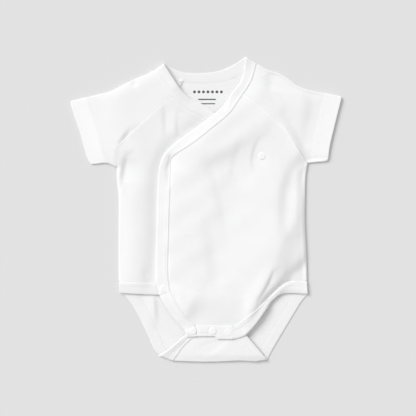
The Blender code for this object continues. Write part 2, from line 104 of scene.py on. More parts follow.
# Raglan seams, from the neck to the underarm: columns x, y.
RAGLAN_FRONT_LEFT: Table = (
    (-37.9, 125.6), (-69, 98), (-96.5, 72), (-102.3, 66), (-103.3, 59), (-99.1, 46.4),
)
RAGLAN_FRONT_RIGHT: Table = ((41.9, 128.8), (66, 109.5), (78, 99.5), (93.5, 82), (101.5, 68.5), (113, 51))
RAGLAN_BACK_LEFT: Table = ((-27, 141.8), (-60, 101), (-88, 66), (-99.1, 46.4))
RAGLAN_BACK_RIGHT: Table = ((31.5, 147.6), (70, 105), (98, 73), (113, 51))

# Bindings, one row for each section across the strip: columns outer x, outer y, seam x, seam y.
NECK_UNDER: Table = (
    (70.5, -82.2, 58, -82.2), (70.5, -23, 58, -23), (69, 21.5, 56.5, 21.5), (67.5, 45.5, 55, 43.5),
    (63.5, 58.5, 52, 53), (55.5, 68.5, 47.5, 58.5), (37.5, 83, 30, 73), (17.5, 100, 10, 90),
    (3, 113, -4.5, 102.5), (-17.5, 124, -25, 113.5), (-28.5, 134, -38.2, 125.3), (-37.5, 147, -48, 137.5),
    (-47, 162.3, -58.3, 155.4),
)
NECK_BACK: Table = (
    (-47, 162.3, -58.3, 155.4), (-37.5, 157.4, -45, 147), (-24.5, 152.9, -27, 141.8),
    (-1, 152.3, 0, 140.5), (17.5, 155.4, 21.5, 143.4), (31.5, 162, 38, 150.3), (44, 170, 56.6, 162.5),
)
NECK_OVER: Table = (
    (44, 170, 56.6, 162.5), (40.6, 149, 51.8, 145), (36.5, 140, 47, 136), (28, 129, 37.2, 121.5),
    (18.5, 115, 27, 107), (-2.5, 97.5, 5.5, 88.5), (-22.6, 83, -15, 72.5), (-40.4, 68.6, -35, 59.5),
    (-48.4, 58.4, -38.3, 55), (-52.4, 45.5, -38.9, 45.5), (-54, 21.5, -39.6, 21.5), (-55.4, -23, -41, -23),
    (-55.4, -80, -41.6, -77), (-52, -95.5, -39.7, -91.3),
)
LEG_FRONT_LEFT: Table = (
    (-52, -95.5, -39.7, -91.3), (-45, -108.5, -34, -102.3), (-35.5, -122, -25.6, -114.5),
    (-27, -131.5, -18, -122.8), (-22.6, -137, -12.3, -128.6), (-22, -142, -9.7, -141.5),
)
LEG_FRONT_RIGHT: Table = (
    (30, -144.5, 30, -129.8), (41.8, -140.9, 35, -127), (49.5, -134, 40, -123), (58, -123.6, 48.5, -116),
    (65.8, -112.5, 57.8, -109), (73.5, -102.2, 68.2, -99.3), (82, -95.3, 78.6, -89.4),
    (90, -93.6, 88, -81), (112.9, -94.4, 112.4, -80.5),
)
LEG_BACK_LEFT: Table = (
    (-96.5, -93, -97.1, -81.2), (-88.4, -99, -79, -89.5), (-77.6, -115.2, -66.8, -109),
    (-65, -140.6, -53.7, -134.8), (-58.4, -156, -46, -152.5), (-52.5, -163, -36.5, -169.2),
)
FLAP_LEFT: Table = (
    (-52.5, -163, -36.5, -169.2), (-40, -154, -31, -161.5), (-30, -145.3, -24, -152.2),
    (-16, -133, -10, -140), (-13.7, -131, 0.6, -131),
)
LEG_BACK_RIGHT: Table = (
    (113.6, -94.8, 112.4, -80.5), (106.2, -103.5, 96.7, -95.5), (97.4, -117.5, 86.8, -111.2),
    (80.9, -145, 70.4, -138.5), (72.2, -160, 61.4, -154), (68.5, -167.8, 54, -170),
)
FLAP_RIGHT: Table = (
    (68.5, -167.8, 54, -170), (58, -155.5, 47.5, -162.5), (45.8, -141.3, 36.5, -149.8),
    (37, -131, 21, -131),
)
HEM: Table = (
    (-96.5, -93.5, -97.1, -80.9), (-50, -95.6, -50, -81.6), (10, -95.6, 10, -82.3),
    (70.5, -95.4, 70.5, -82.6),
)
CROTCH_BAND_LOWER: Table = ((-9.7, -141.5), (9.5, -141.3), (12.5, -144.5), (30, -144.5))
CROTCH_BAND_UPPER: Table = ((30, -129.8), (10, -128.6), (-12.3, -128.6))
UNDER_CORNER = (58, -82.6)  # where the hidden wrap edge of the under front meets its hem


class Side(Enum):
    """The side of a line, going along it, on which a piece lies."""

    LEFT = 1
    RIGHT = -1


class Face(Enum):
    """Which way the outside of a layer of cloth looks."""

    UP = 1
    DOWN = -1


@dataclass(frozen=True)
class Gauge:
    """The thicknesses and spacings that all cloth pieces share."""

    cloth: float = 1.0  # a panel
    binding: float = 1.9  # the knit strip and the edge folded into it
    lap: float = 0.1  # of pieces sewn to each other
    fold_radius: float = 0.65  # the middle of a panel where it turns over an edge
    binding_fold_radius: float = 1.05
    clearance: float = 0.15  # between layers that lie on each other
    seam_round: float = 0.15  # the edge of a panel where it is sewn
    strip_round: float = 0.03  # the same edge of a binding


GAUGE = Gauge()


def smooth(table: Table | Array, step: float = EDGE_STEP) -> Array:
    """Points on the smooth curve through a table's rows.

    Args:
        table: rows of x, y, or of outer x, outer y, seam x, seam y.
        step: the most that neighbouring points may lie apart.

    Returns:
        The points, both ends included, one row each.
    """
    rows = np.array(table, float)
    chords = np.maximum(
        np.hypot(*np.diff(rows[:, :2], axis=0).T), np.hypot(*np.diff(rows[:, -2:], axis=0).T)
    )
    knots = np.concatenate([[0], np.cumsum(np.sqrt(chords))])
    slopes = np.diff(rows, axis=0) / np.diff(knots)[:, None]
    before, after = np.diff(knots)[:-1, None], np.diff(knots)[1:, None]
    middle = (slopes[:-1] * after + slopes[1:] * before) / (before + after)
    tangents = np.vstack([slopes[:1], middle, slopes[-1:]])
    curve = []
    for start in range(len(rows) - 1):
        span = knots[start + 1] - knots[start]
        count = max(1, math.ceil(chords[start] / step))
        for t in np.arange(count) / count:
            curve.append(
                (2 * t**3 - 3 * t**2 + 1) * rows[start]
                + (t**3 - 2 * t**2 + t) * span * tangents[start]
                + (3 * t**2 - 2 * t**3) * rows[start + 1]
                + (t**3 - t**2) * span * tangents[start + 1]
            )
    return np.array(curve + [rows[-1]])


def normals(points: Array) -> Array:
    """Unit vectors to the left of the direction of travel."""
    along = np.gradient(points, axis=0)
    left = np.stack([-along[:, 1], along[:, 0]], axis=1)
    return left / np.linalg.norm(left, axis=1)[:, None]


def lengths_along(points: Array) -> Array:
    """How far along the polyline each of its points lies."""
    return np.concatenate([[0], np.cumsum(np.hypot(*np.diff(points, axis=0).T))])


def spots(points: Array, lengths: Array, stops: Array) -> Array:
    """The rows of a polyline, each at a length along it, read at other lengths."""
    return np.stack([np.interp(stops, lengths, column) for column in points.T], axis=1)


def stretch(points: Array, first: float, last: float) -> Array:
    """The stretch of a polyline between two lengths along it."""
    lengths = lengths_along(points)
    inside = (lengths > first + NEAREST) & (lengths < last - NEAREST)
    return spots(points, lengths, np.concatenate([[first], lengths[inside], [last]]))


def trimmed(points: Array, at_start: float, at_end: float) -> Array:
    """A polyline with these lengths taken off its ends."""
    return stretch(points, at_start, lengths_along(points)[-1] - at_end)


def length_nearest(points: Array, place: tuple[float, ...]) -> float:
    """How far along the polyline its spot nearest to a place lies."""
    steps = np.diff(points, axis=0)
    reach = np.sum((np.array(place) - points[:-1]) * steps, axis=1)
    shares = np.clip(reach / np.sum(steps**2, axis=1), 0, 1)
    gaps = np.hypot(*(points[:-1] + shares[:, None] * steps - np.array(place)).T)
    nearest = np.argmin(gaps)
    return lengths_along(points)[nearest] + shares[nearest] * np.hypot(*steps[nearest])


def cut(points: Array, start: tuple[float, ...], end: tuple[float, ...]) -> Array:
    """The stretch of a polyline between its spots nearest to start and end, run in that direction."""
    first, last = length_nearest(points, start), length_nearest(points, end)
    if first < last:
        return stretch(points, first, last)
    return stretch(points, last, first)[::-1]


def distance(points: Array, polylines: list[Array]) -> Array:
    """How far each point is from the nearest of the polylines."""
    nearest = np.full(len(points), np.inf)
    for line in polylines:
        for start, end in zip(line[:-1], line[1:]):
            along = end - start
            share = np.clip((points - start) @ along / (along @ along), 0, 1)
            gap = points - start - share[:, None] * along
            nearest = np.minimum(nearest, gap[:, 0] ** 2 + gap[:, 1] ** 2)
    return np.sqrt(nearest)


def beside(points: Array, line: Array) -> tuple[Array, Array, Array]:
    """Where each point lies beside a polyline.

    Args:
        points: rows of x, y.
        line: the polyline.

    Returns:
        How far each is from the line, how far to the left of its nearest stretch, and what share of the
        line's length comes before it.
    """
    lengths = lengths_along(line)
    nearest = np.full(len(points), np.inf)
    left = np.zeros(len(points))
    share = np.zeros(len(points))
    for start, end, walked in zip(line[:-1], line[1:], lengths):
        along = end - start
        span = math.hypot(*along)
        t = np.clip((points - start) @ along / span**2, 0, 1)
        gap = points - start - t[:, None] * along
        apart = np.hypot(*gap.T)
        closer = apart < nearest
        nearest = np.where(closer, apart, nearest)
        left = np.where(closer, (along[0] * gap[:, 1] - along[1] * gap[:, 0]) / span, left)
        share = np.where(closer, (walked + t * span) / lengths[-1], share)
    return nearest, left, share


def curved(path: Table) -> Array:
    """The smooth curve through a path's points."""
    return smooth(path, FOLD_STEP) if len(path) > 2 else np.array(path, float)


def eased(value: Array) -> Array:
    """A smooth step from 0 at 0 to 1 at 1."""
    held = np.clip(value, 0, 1)
    return held * held * (3 - 2 * held)


def fading(share: Array, start: float, power: float) -> Array:
    """How strong a fold is at a share of its path: 1 halfway, and less towards both ends."""
    return np.sin(math.pi * np.clip(start + (1 - 2 * start) * share, 0, 1)) ** power


def seam_line(sections: Table) -> Array:
    """The seam side of a binding, as a curve."""
    return smooth(sections, SEAM_STEP)[:, 2:]


def outer_line(sections: Table) -> Array:
    """The outer side of a binding, as a curve."""
    return smooth(sections, SEAM_STEP)[:, :2]


@dataclass(frozen=True)
class Crease:
    """A soft trough along a path, or a ridge where its depth is negative."""

    path: Table
    half_width: float
    depth: float
    lean: float = 0.0  # 1 makes the wall on the left of the path steep, -1 the one on the right

    def at(self, points: Array) -> Array:
        """How far the crease lowers the cloth at each point."""
        nearest, left, share = beside(points, curved(self.path))
        pull = self.lean * np.tanh(left / self.half_width)
        width = self.half_width * (1 - np.where(pull > 0, pull, 3 * pull))
        return self.depth * fading(share, 0.08, 0.7) * np.exp(-((nearest / width) ** 2))


@dataclass(frozen=True)
class Lip:
    """A seam beside which the cloth of one piece stands a little higher."""

    seam: Table
    side: Side  # where it stands higher
    rise: float
    foot: float = 0.9  # how wide the step is
    reach: float = 9.0

    def at(self, points: Array) -> Array:
        """How far the lip lowers the cloth at each point, below zero where it raises it."""
        nearest, left, share = beside(points, curved(self.seam))
        inside = np.where(left * self.side.value > 0, nearest, -nearest)
        ends = fading(share, 0.04, 0.5)
        return -self.rise * ends * eased(inside / self.foot + 0.5) * np.exp(-((inside / self.reach) ** 2))


@dataclass(frozen=True)
class Press:
    """A line along which a layer is held down, or up, at a height."""

    line: Table
    reach: float
    height: float

    def at(self, points: Array, height: Array) -> Array:
        """A layer's height once this holds it."""
        held = np.exp(-((distance(points, [curved(self.line)]) / self.reach) ** 2))
        return height + (self.height - height) * held


@dataclass(frozen=True)
class Swell:
    """A round place where a layer stands higher, or lower where its rise is negative."""

    x: float
    y: float
    reach_x: float
    reach_y: float
    rise: float

    def at(self, points: Array) -> Array:
        """How far it raises the cloth at each point."""
        along = (points[:, 0] - self.x) / self.reach_x
        across = (points[:, 1] - self.y) / self.reach_y
        return self.rise * np.exp(-(along**2) - across**2)


@dataclass(frozen=True)
class Ripples:
    """The slight unevenness of cloth that lies by itself."""

    seed: int  # picks the pattern
    height: float  # the usual rise above and fall below the mean
    shortest: float = 24.0  # the least length of a wave
    longest: float = 80.0
    waves: int = 14

    def at(self, points: Array) -> Array:
        """How far they raise the cloth at each point."""
        draw = np.random.default_rng(self.seed)
        total = np.zeros(len(points))
        for _ in range(self.waves):
            angle = draw.uniform(0, math.pi)
            wave = draw.uniform(self.shortest, self.longest)
            phase = draw.uniform(0, 2 * math.pi)
            along = points @ np.array([math.cos(angle), math.sin(angle)])
            total += np.sin(2 * math.pi * along / wave + phase)
        return total * self.height * math.sqrt(2 / self.waves)


OVER_PRESSES = (
    Press(((28, 129), (-22.6, 83), (-40.4, 68.6), (-48.4, 58.4)), 13, 3.2),
    Press(((-52.4, 45.5), (-55.4, -23), (-55.4, -80), (-53, -92)), 13, 3.1),
    Press(((-46, -106), (-35.5, -122), (-30, -129)), 12, 3.0),
    Press(((-15, -136.5), (30, -138)), 11, 4.3),
    Press(((119, -22), (120, -66)), 20, 3.6),
    Press(((-2, -97), (20, -101), (39, -107)), 14, 7.0),
    Press(((46, -138), (53, -131), (61, -122), (68, -113)), 7.5, 6.3),
    Press(((75, -104), (82, -97.5), (92, -94), (112, -94)), 7, 2.3),
    Press(((97, -84), (113, -84)), 10, 2.7),
    Press(((50, 160), (36, 140)), 14, 2.6),
)
OVER_SWELLS = (
    Swell(60, -44, 68, 58, 3.3),
    Swell(-2, 10, 38, 60, 1.5),
    Swell(62.3, 59.3, 6, 6, -0.4),
    Swell(-39.5, 57, 3.4, 4.0, -1.0),
)
UNDER_PRESSES = (
    Press(((-50, -95.6), (70, -95.4)), 10, 2.4),
    Press(((-97, -93), (-50, -95.6)), 9, 2.7),
    Press(
        (
            (12, 110), (-22.6, 83), (-40, 68), (-51.6, 45.5), (-54.4, 5), (-54.8, -28), (-56.4, -55),
            (-59.5, -80),
        ),
        9.2,
        1.65,
    ),
    Press(((17.5, 100), (-14, 121)), 13, 2.3),
    Press(((-33, 140), (-37.5, 147), (-47, 162)), 7.5, 5.9),
)
UNDER_SWELLS = (
    Swell(-77, -20, 12, 80, 0.9),
    Swell(-99, 85, 26, 34, 2.8),
)

# Folds of the over front and the right sleeve.
OVER_CREASES = (
    Crease(((-42.6, 44), (-40.6, 50), (-38, 54.5), (-33.5, 58.5)), 4.5, 1.2, 0.5),
    Crease(((-40.6, 57), (-42.2, 44), (-42.8, 24)), 1.6, 0.6, 0.3),
    Crease(((-39, 58), (-39.6, 44), (-40.6, 26)), 1.5, 0.9, 0.3),
    Crease(((-42.4, -46), (-42.5, -60), (-42.2, -78)), 1.4, 0.5, 0.3),
    Crease(((-8, 60), (9, 67), (19, 70.5), (28, 75), (37, 80.5), (47, 86), (58, 92)), 14, -2.2, -0.3),
    Crease(((14, 42), (32, 45), (50, 52), (66, 64)), 17, 1.7, 0.3),
    Crease(((41, 78), (34, 55), (31, 34)), 7, 0.7, -0.4),
    Crease(((4, 56), (16, 26), (22, -3), (24, -24)), 11, 1.3, -0.4),
    Crease(((60, 78), (53, 60), (54, 44)), 4, 0.9, -0.5),
    Crease(((103, 22), (98, -4), (88, -32), (75, -60), (62, -86), (52, -104)), 14, -2.2, 0.3),
    Crease(((69, -68), (60, -87), (51, -105), (41, -122)), 6, -0.5),
    Crease(((84, -71), (73.6, -82), (63, -94), (54.5, -104.5), (49, -114), (43.5, -124)), 7, -2.2, 0.35),
    Crease(((106, 52), (100, 42), (95.5, 30), (92.5, 18), (91, 2), (91, -14), (93, -28)), 12, 2.9, -0.4),
    Crease(((108, -12), (97, -30), (88, -48), (82, -62)), 9, 0.7, -0.5),
    Crease(((75.5, -69), (70, -82), (64, -93), (58, -102)), 3, 1.9, -0.4),
    Crease(((120, -59), (107, -67.5), (98, -74.5), (90, -81)), 10.5, 3.5, -0.32),
    Crease(((94, -80.2), (86.8, -82.5), (78.6, -88.8), (70, -97), (63.5, -104.3)), 2.1, 2.1, 0.1),
    Crease(((-14, -90), (-21, -105), (-27, -120)), 13, -2.7, 0.3),
    Crease(((40, -98), (40.5, -110), (38, -122)), 7.5, 1.4, 0.15),
    Crease(((6, -18), (11, -51), (15, -84)), 12, 1.8, -0.2),
    Crease(((-35.5, -93), (-31, -101)), 2, 0.6),
    Crease(((-38, -28.7), (-2, -28)), 1.3, -0.15),
    Crease(((-40, -53.9), (-7, -53)), 1.3, -0.12),
    Crease(((24.5, 126), (19.5, 110)), 2.2, 0.7),
    Crease(((69, 152), (75, 143), (74, 131)), 11, 2.3, -0.3),
    Crease(((104, 141), (115, 134), (121, 122), (120, 104), (116, 84), (114, 70)), 12, 2.1, -0.3),
    Crease(((90, 103), (98, 91), (107, 76), (114, 58)), 7.5, 2.4, -0.35),
)
# Folds of the under front and the left sleeve.
UNDER_CREASES = (
    Crease(((-46, 116), (-45, 100), (-44, 84)), 4.5, 1.0, -0.4),
    Crease(((-31, 104), (-30, 84)), 4.5, 1.1, -0.4),
    Crease(((-84, 86), (-89.5, 78), (-96, 69)), 5.5, 2.5, -0.5),
    Crease(((-86.5, 58), (-89.5, 45), (-91.5, 30)), 6, 2.8, -0.4),
    Crease(((-83, 143), (-78, 136)), 4, 1.1),
    Crease(((-32, 110), (-10, 99)), 3, 0.5),
    Crease(((-68, -66), (-66, -78)), 4, 0.5),
)
FLAP_CREASES = (
    Crease(((-8, -156), (6, -152), (20, -147)), 6, 0.9, 0.4),
    Crease(((2, -164), (14, -158), (25, -150)), 5, -0.5),
    Crease(((-52, -162), (-39, -153), (-28, -143.5), (-22, -138)), 5, -1.5, -0.2),
)
BACK_CREASES = (
    Crease(((-33, 133.5), (-26.4, 144.5)), 1.3, -2.0),
    Crease(((-60, -96), (-58.5, -110), (-57.5, -124)), 4, -1.3, 0.4),
)
# At a raglan the body's side stands up, because the edges inside are turned towards it.
OVER_SEAMS = (
    Lip(RAGLAN_FRONT_RIGHT, Side.LEFT, 0.3),
    Lip(RAGLAN_FRONT_RIGHT[3:], Side.RIGHT, 1.2),
)
UNDER_SEAMS = (Lip(RAGLAN_FRONT_LEFT, Side.LEFT, 0.35),)


@dataclass(frozen=True)
class Roll:
    """How a layer rises from an edge where the garment is closed."""

    edge: Table
    bulge: float  # the height of the roll at the edge itself
    rise: float  # how much higher the cloth comes further in
    reach: float  # how far in it does so
    width: float = 1.4  # of the roll at the edge
    bow: float = 2.0  # 1 for a straight rise, more for one that flattens on its way in

    def at(self, points: Array) -> Array:
        """How far this edge keeps each point below the layer's full height."""
        inside = distance(points, [smooth(self.edge, ROUGH_STEP)])
        bulge = np.sqrt(1 - (1 - np.clip(inside / self.width, 0, 1)) ** 2)
        rise = 1 - (1 - np.clip(inside / self.reach, 0, 1)) ** self.bow
        return self.bulge * (1 - bulge) + self.rise * (1 - rise)


OVER_ROLLS = (
    Roll(SIDE_RIGHT, 1.3, 3.6, 10.5, bow=1.35),
    Roll(SHOULDER_RIGHT, 1.6, 1.5, 10),
    Roll(UNDERARM_RIGHT, 1.0, 3.4, 16, bow=1.4),
)
UNDER_ROLLS = (
    Roll(SIDE_LEFT, 1.2, 2.0, 17),
    Roll(SHOULDER_LEFT, 1.2, 1.2, 12),
    Roll(UNDERARM_LEFT, 1.4, 1.4, 12),
)


@dataclass
class Lay:
    """How the layers lie on each other: the height of the middle of each at any point."""

    side_height: float = 1.12  # a front's middle where it is sewn to the back
    over_height: float = 5.4
    under_height: float = 4.1
    flap_height: float = 2.5
    flap_lift: float = 1.8  # how much higher the right edge of the flap stands
    flap_dip: float = 0.5  # how far the folds of the flap may go down
    flap_slant: float = 0.75  # how much x grows with y along the line where the flap starts to rise
    flap_start: float = 60.0  # where that line meets y = 0
    flap_slope: float = 90.0  # over which it rises
    flap_fold: float = -171.0  # the crotch fold, where it can't rise yet
    flap_turn: float = 10.0  # how far from the fold it has risen in full
    flap_margin: float = 5.0  # how far round the flap the over front is held up by it
    binding_room: float = 0.5  # what the bindings add to the thickness of the layers at the crotch
    edge_width: float = 4.0  # along the closed edges, which nothing else shapes
    wrap_width: float = 6.0  # over which the wrap's edge comes to bear on what is under it
    under_binding_least: float = 1.6
    over_binding_least: float = 2.1
    over_ripples: Ripples = Ripples(5, 0.2)
    under_ripples: Ripples = Ripples(9, 0.18)
    wrap_line: Array = field(init=False)

    def __post_init__(self) -> None:
        """Draws the line from which the overlap is measured."""
        self.wrap_line = outer_line(NECK_OVER)

    def rolled(self, points: Array, full: float, rolls: tuple[Roll, ...]) -> Array:
        """The height of a layer that rolls up from its closed edges."""
        drop = np.zeros(len(points))
        for roll in rolls:
            drop = np.maximum(drop, (full - self.side_height) / (roll.bulge + roll.rise) * roll.at(points))
        return full - drop

    def held(self, points: Array, rolls: tuple[Roll, ...]) -> Array:
        """0 along the closed edges, 1 where other things may shape the layer."""
        lines = [smooth(roll.edge, ROUGH_STEP) for roll in rolls]
        return eased(distance(points, lines) / self.edge_width)

    @staticmethod
    def shaped(
        points: Array,
        height: Array,
        creases: tuple[Crease | Lip, ...],
        presses: tuple[Press, ...] = (),
        swells: tuple[Swell, ...] = (),
    ) -> Array:
        """A layer's height after what holds it down, lifts it and folds it."""
        for press in presses:
            height = press.at(points, height)
        for swell in swells:
            height = height + swell.at(points)
        for crease in creases:
            height = height - crease.at(points)
        return height

    def free_over(self, points: Array) -> Array:
        """The over front's layer before it is kept clear of what lies under it."""
        height = self.rolled(points, self.over_height, OVER_ROLLS)
        shaped = self.shaped(points, height, OVER_CREASES + OVER_SEAMS, OVER_PRESSES, OVER_SWELLS)
        shaped = shaped + self.over_ripples.at(points)
        least = self.flap(points) + GAUGE.cloth + GAUGE.clearance + self.binding_room
        on_flap = eased(1 + self.within_flap(points) / self.flap_margin)
        shaped = shaped + on_flap * np.maximum(least - shaped, 0)
        return height + (shaped - height) * self.held(points, OVER_ROLLS)

    def over(self, points: Array) -> Array:
        """The over front and the right sleeve's upper layer."""
        return np.maximum(self.free_over(points), self.side_height)

    def over_binding(self, points: Array) -> Array:
        """The bindings of the over front."""
        return np.maximum(self.over(points), self.over_binding_least)

    def under(self, points: Array) -> Array:
        """The under front and the left sleeve's upper layer."""
        height = self.rolled(points, self.under_height, UNDER_ROLLS)
        shaped = self.shaped(points, height, UNDER_CREASES + UNDER_SEAMS, UNDER_PRESSES, UNDER_SWELLS)
        shaped = shaped + self.under_ripples.at(points)
        height = height + (shaped - height) * self.held(points, UNDER_ROLLS)
        return np.maximum(self.below_over(points, height, GAUGE.cloth), self.side_height)

    def under_binding(self, points: Array) -> Array:
        """The bindings of the under front."""
        height = self.below_over(points, self.under(points), GAUGE.binding)
        return np.maximum(height, self.under_binding_least)

    def below_over(self, points: Array, height: Array, thickness: float) -> Array:
        """The height of something this thick once it is kept clear of the over front on it."""
        nearest, left, _ = beside(points, self.wrap_line)
        covered = eased((nearest * np.sign(left) + self.wrap_width / 2) / self.wrap_width)
        most = self.free_over(points) - thickness - GAUGE.clearance
        return height + covered * np.minimum(most - height, 0)

    @staticmethod
    def within_flap(points: Array) -> Array:
        """How far each point lies inside the outline of the crotch flap."""
        _, left_gap, _ = beside(points, outer_line(FLAP_LEFT))
        _, right_gap, _ = beside(points, outer_line(FLAP_RIGHT))
        return np.minimum(np.minimum(-left_gap, right_gap), FLAP_LEFT[-1][1] - points[:, 1])

    def flap(self, points: Array) -> Array:
        """The crotch flap, folded up on the back."""
        across = (points[:, 0] - points[:, 1] * self.flap_slant - self.flap_start) / self.flap_slope
        turned = eased((points[:, 1] - self.flap_fold) / self.flap_turn)
        lift = self.flap_lift * eased(across) * turned
        height = self.shaped(points, np.full(len(points), self.flap_height), FLAP_CREASES)
        return np.maximum(height, self.flap_height - self.flap_dip) + lift

    def back(self, points: Array) -> Array:
        """The back, flat on what it lies on but for a fold and a pinch in it."""
        return self.shaped(points, np.full(len(points), GAUGE.cloth / 2), BACK_CREASES)


def linked(name: str, data: bpy.types.ID) -> Piece:
    """A new object in the scene that holds this data."""
    made = bpy.data.objects.new(name, data)
    bpy.context.scene.collection.objects.link(made)
    return made


def solid(name: str, points: Array, faces: list[list[int]], material: Material) -> Piece:
    """A new object at the origin, from points in millimetres and their faces."""
    mesh = bpy.data.meshes.new(name)
    mesh.from_pydata((points * METRES).tolist(), [], faces)
    mesh.materials.append(material)
    return linked(name, mesh)


def worn(piece: Piece, slot: str, *nodes: str) -> Piece:
    """Fixes a piece to the garment and lets it stand for its CAD nodes."""
    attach(piece, "root")
    if nodes:
        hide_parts(*nodes)
    LOG.info("made %s with %d faces", piece.name, len(piece.data.polygons))
    return piece


class Cloth:
    """One piece of cloth, built up from patches of the surface through its middle."""

    def __init__(self, name: str) -> None:
        """Starts an empty piece of this name."""
        self.name = name
        self.rows: list[Array] = []  # columns x, y, z, outside, inside, grain across, grain along
        self.faces: list[list[int]] = []
        self.count = 0

    def add(
        self,
        middle: Array,
        outside: Array,
        inside: Array,
        grain: Array,
        faces: list[list[int]],
    ) -> None:
        """Adds a patch.

        Args:
            middle: the patch's points, as rows of x, y, z.
            outside: how far the outside face lies from each point.
            inside: the same for the inside face.
            grain: where each point lies on the flat knit, across and along its wales.
            faces: its faces, as lists of the patch's point numbers.
        """
        self.rows.append(np.column_stack([middle, outside, inside, grain]))
        self.faces += [[self.count + corner for corner in face] for face in faces]
        self.count += len(middle)

    def add_rows(self, rows: Array, outside: Array, inside: Array, grain: Array) -> None:
        """Adds a strip of rows of points, joined with quads, from arrays of row, column, value."""
        count, wide = rows.shape[:2]
        faces = [
            [i * wide + j, i * wide + j + 1, (i + 1) * wide + j + 1, (i + 1) * wide + j]
            for i in range(count - 1)
            for j in range(wide - 1)
        ]
        self.add(rows.reshape(-1, 3), outside.ravel(), inside.ravel(), grain.reshape(-1, 2), faces)

    def welded(self) -> tuple[Array, list[list[int]]]:
        """The rows and faces of one surface, with the points along the patches' shared edges made one."""
        rows = np.vstack(self.rows)
        keys = np.round(rows[:, :3] / MERGE).astype(np.int64)
        _, first, index = np.unique(keys, axis=0, return_index=True, return_inverse=True)
        index = index.reshape(-1)
        faces = [list(dict.fromkeys(index[face].tolist())) for face in self.faces]
        return rows[first], [face for face in faces if len(face) > 2]

    @staticmethod
    def turned(middle: Array, faces: list[list[int]], face: Face) -> tuple[Array, Array, list[list[int]]]:
        """Turns the faces of a surface to look the same way.

        Args:
            middle: its points.
            faces: its faces.
            face: which way the highest of them looks.

        Returns:
            The normal at each point, whether it is on a free edge, and the turned faces.
        """
        draft = bpy.data.meshes.new("draft")
        draft.from_pydata(middle.tolist(), [], faces)
        shape = bmesh.new()
        shape.from_mesh(draft)
        bpy.data.meshes.remove(draft)
        bmesh.ops.recalc_face_normals(shape, faces=shape.faces)
        shape.faces.ensure_lookup_table()
        highest = max(shape.faces, key=lambda one: one.calc_center_median().z)
        if highest.normal.z * face.value < 0:
            bmesh.ops.reverse_faces(shape, faces=shape.faces)
        shape.normal_update()
        shape.verts.ensure_lookup_table()
        up = np.array([vertex.normal[:] for vertex in shape.verts])
        rim = np.array([vertex.is_boundary for vertex in shape.verts])
        sides = [[vertex.index for vertex in one.verts] for one in shape.faces]
        shape.free()
        return up, rim, sides

    def to_object(self, material: Material, face: Face) -> Piece:
        """Makes the closed mesh of the cloth's two faces, which meet along its free edges.

        Args:
            material: its finish.
            face: which way the outside looks at the cloth's highest place.

        Returns:
            The object, at the origin.
        """
        rows, faces = self.welded()
        middle, grain = rows[:, :3], rows[:, 5:]
        up, rim, sides = self.turned(middle, faces, face)
        outside, inside = np.where(rim, 0, rows[:, 3:5].T)
        below = np.where(rim, np.arange(len(rows)), len(rows) + np.cumsum(~rim) - 1)
        lower = [below[one[::-1]].tolist() for one in sides]
        points = np.vstack([middle + up * outside[:, None], (middle - up * inside[:, None])[~rim]])
        piece = solid(self.name, points, sides + lower, material)
        mesh = piece.data
        corners = np.zeros(len(mesh.loops), np.int32)
        mesh.loops.foreach_get("vertex_index", corners)
        wales = np.vstack([grain, grain[~rim]])[corners]
        layer = mesh.uv_layers.new(name=KNIT_MAP)
        layer.data.foreach_set("uv", wales.astype(np.float32).ravel())
        mesh.shade_smooth()
        mesh.update()
        return piece

    def flat_area(self) -> float:
        """The area of the surface through the middle, in square metres."""
        rows, faces = self.welded()
        total = 0.0
        for face in faces:
            corners = rows[face, :3]
            for first, second in zip(corners[1:-1], corners[2:]):
                total += np.linalg.norm(np.cross(first - corners[0], second - corners[0])) / 2
        return total * METRES**2


RINGS = (0.06, 0.16, 0.4, 0.8, 1.4)  # rows of points along a panel's outline, this far inside it
CLEAR = 0.93  # the share of its ring's distance that a point keeps from all of the outline
CORNER = 0.4  # a point at a corner that keeps more than this share is moved further in


def filled(outline: Array, step: float) -> tuple[Array, list[list[int]]]:
    """A fine even triangulation inside a closed outline, with rows of points along it.

    Args:
        outline: its points, counterclockwise.
        step: the spacing of the points inside.

    Returns:
        The points, as rows of x, y, and the triangles.
    """
    closed = np.vstack([outline, outline[:1]])
    around = np.vstack([outline[-1:], outline, outline[:1]])
    inward = normals(around)[1:-1]
    if polygon_area(outline) < 0:
        inward = -inward
    rings = []
    for ring in RINGS:
        points = outline + inward * ring
        near = distance(points, [closed])
        corner = (near > CORNER * ring) & (near <= CLEAR * ring)
        mitred = outline[corner] + inward[corner] * (ring**2 / near[corner])[:, None]
        rings += [points[near > CLEAR * ring], mitred[distance(mitred, [closed]) > CLEAR * ring]]
    low, high = outline.min(axis=0), outline.max(axis=0)
    row_step = step * math.sqrt(3) / 2
    rows = np.arange(low[1] + row_step, high[1], row_step)
    columns = np.arange(low[0] + step / 2, high[0], step)
    grid = np.stack(np.meshgrid(columns, rows), axis=-1)
    grid[1::2, :, 0] += step / 2
    grid = grid.reshape(-1, 2)
    grid = grid[distance(grid, [closed]) > RINGS[-1] + step / 2]
    points = [Vector(point) for point in np.vstack([outline, *rings, grid])]
    count = len(outline)
    edges = [(i, (i + 1) % count) for i in range(count)]
    found, _, faces, *_ = delaunay_2d_cdt(points, edges, [], 1, 1e-4)
    used, corners = np.unique(np.array(faces), return_inverse=True)
    return np.array([point[:] for point in found])[used], corners.reshape(-1, 3).tolist()


def polygon_area(outline: Array) -> float:
    """The signed area of a closed outline, above zero if it runs counterclockwise."""
    x, y = outline.T
    return float(np.sum(x * np.roll(y, -1) - y * np.roll(x, -1)) / 2)


def rounded(edge: Array, half: float | Array, radius: float) -> Array:
    """Half the thickness of cloth near its edge, which is rounded over this radius."""
    inside = 1 - np.clip(edge / radius, 0, 1)
    return half * np.sqrt(1 - inside**2)


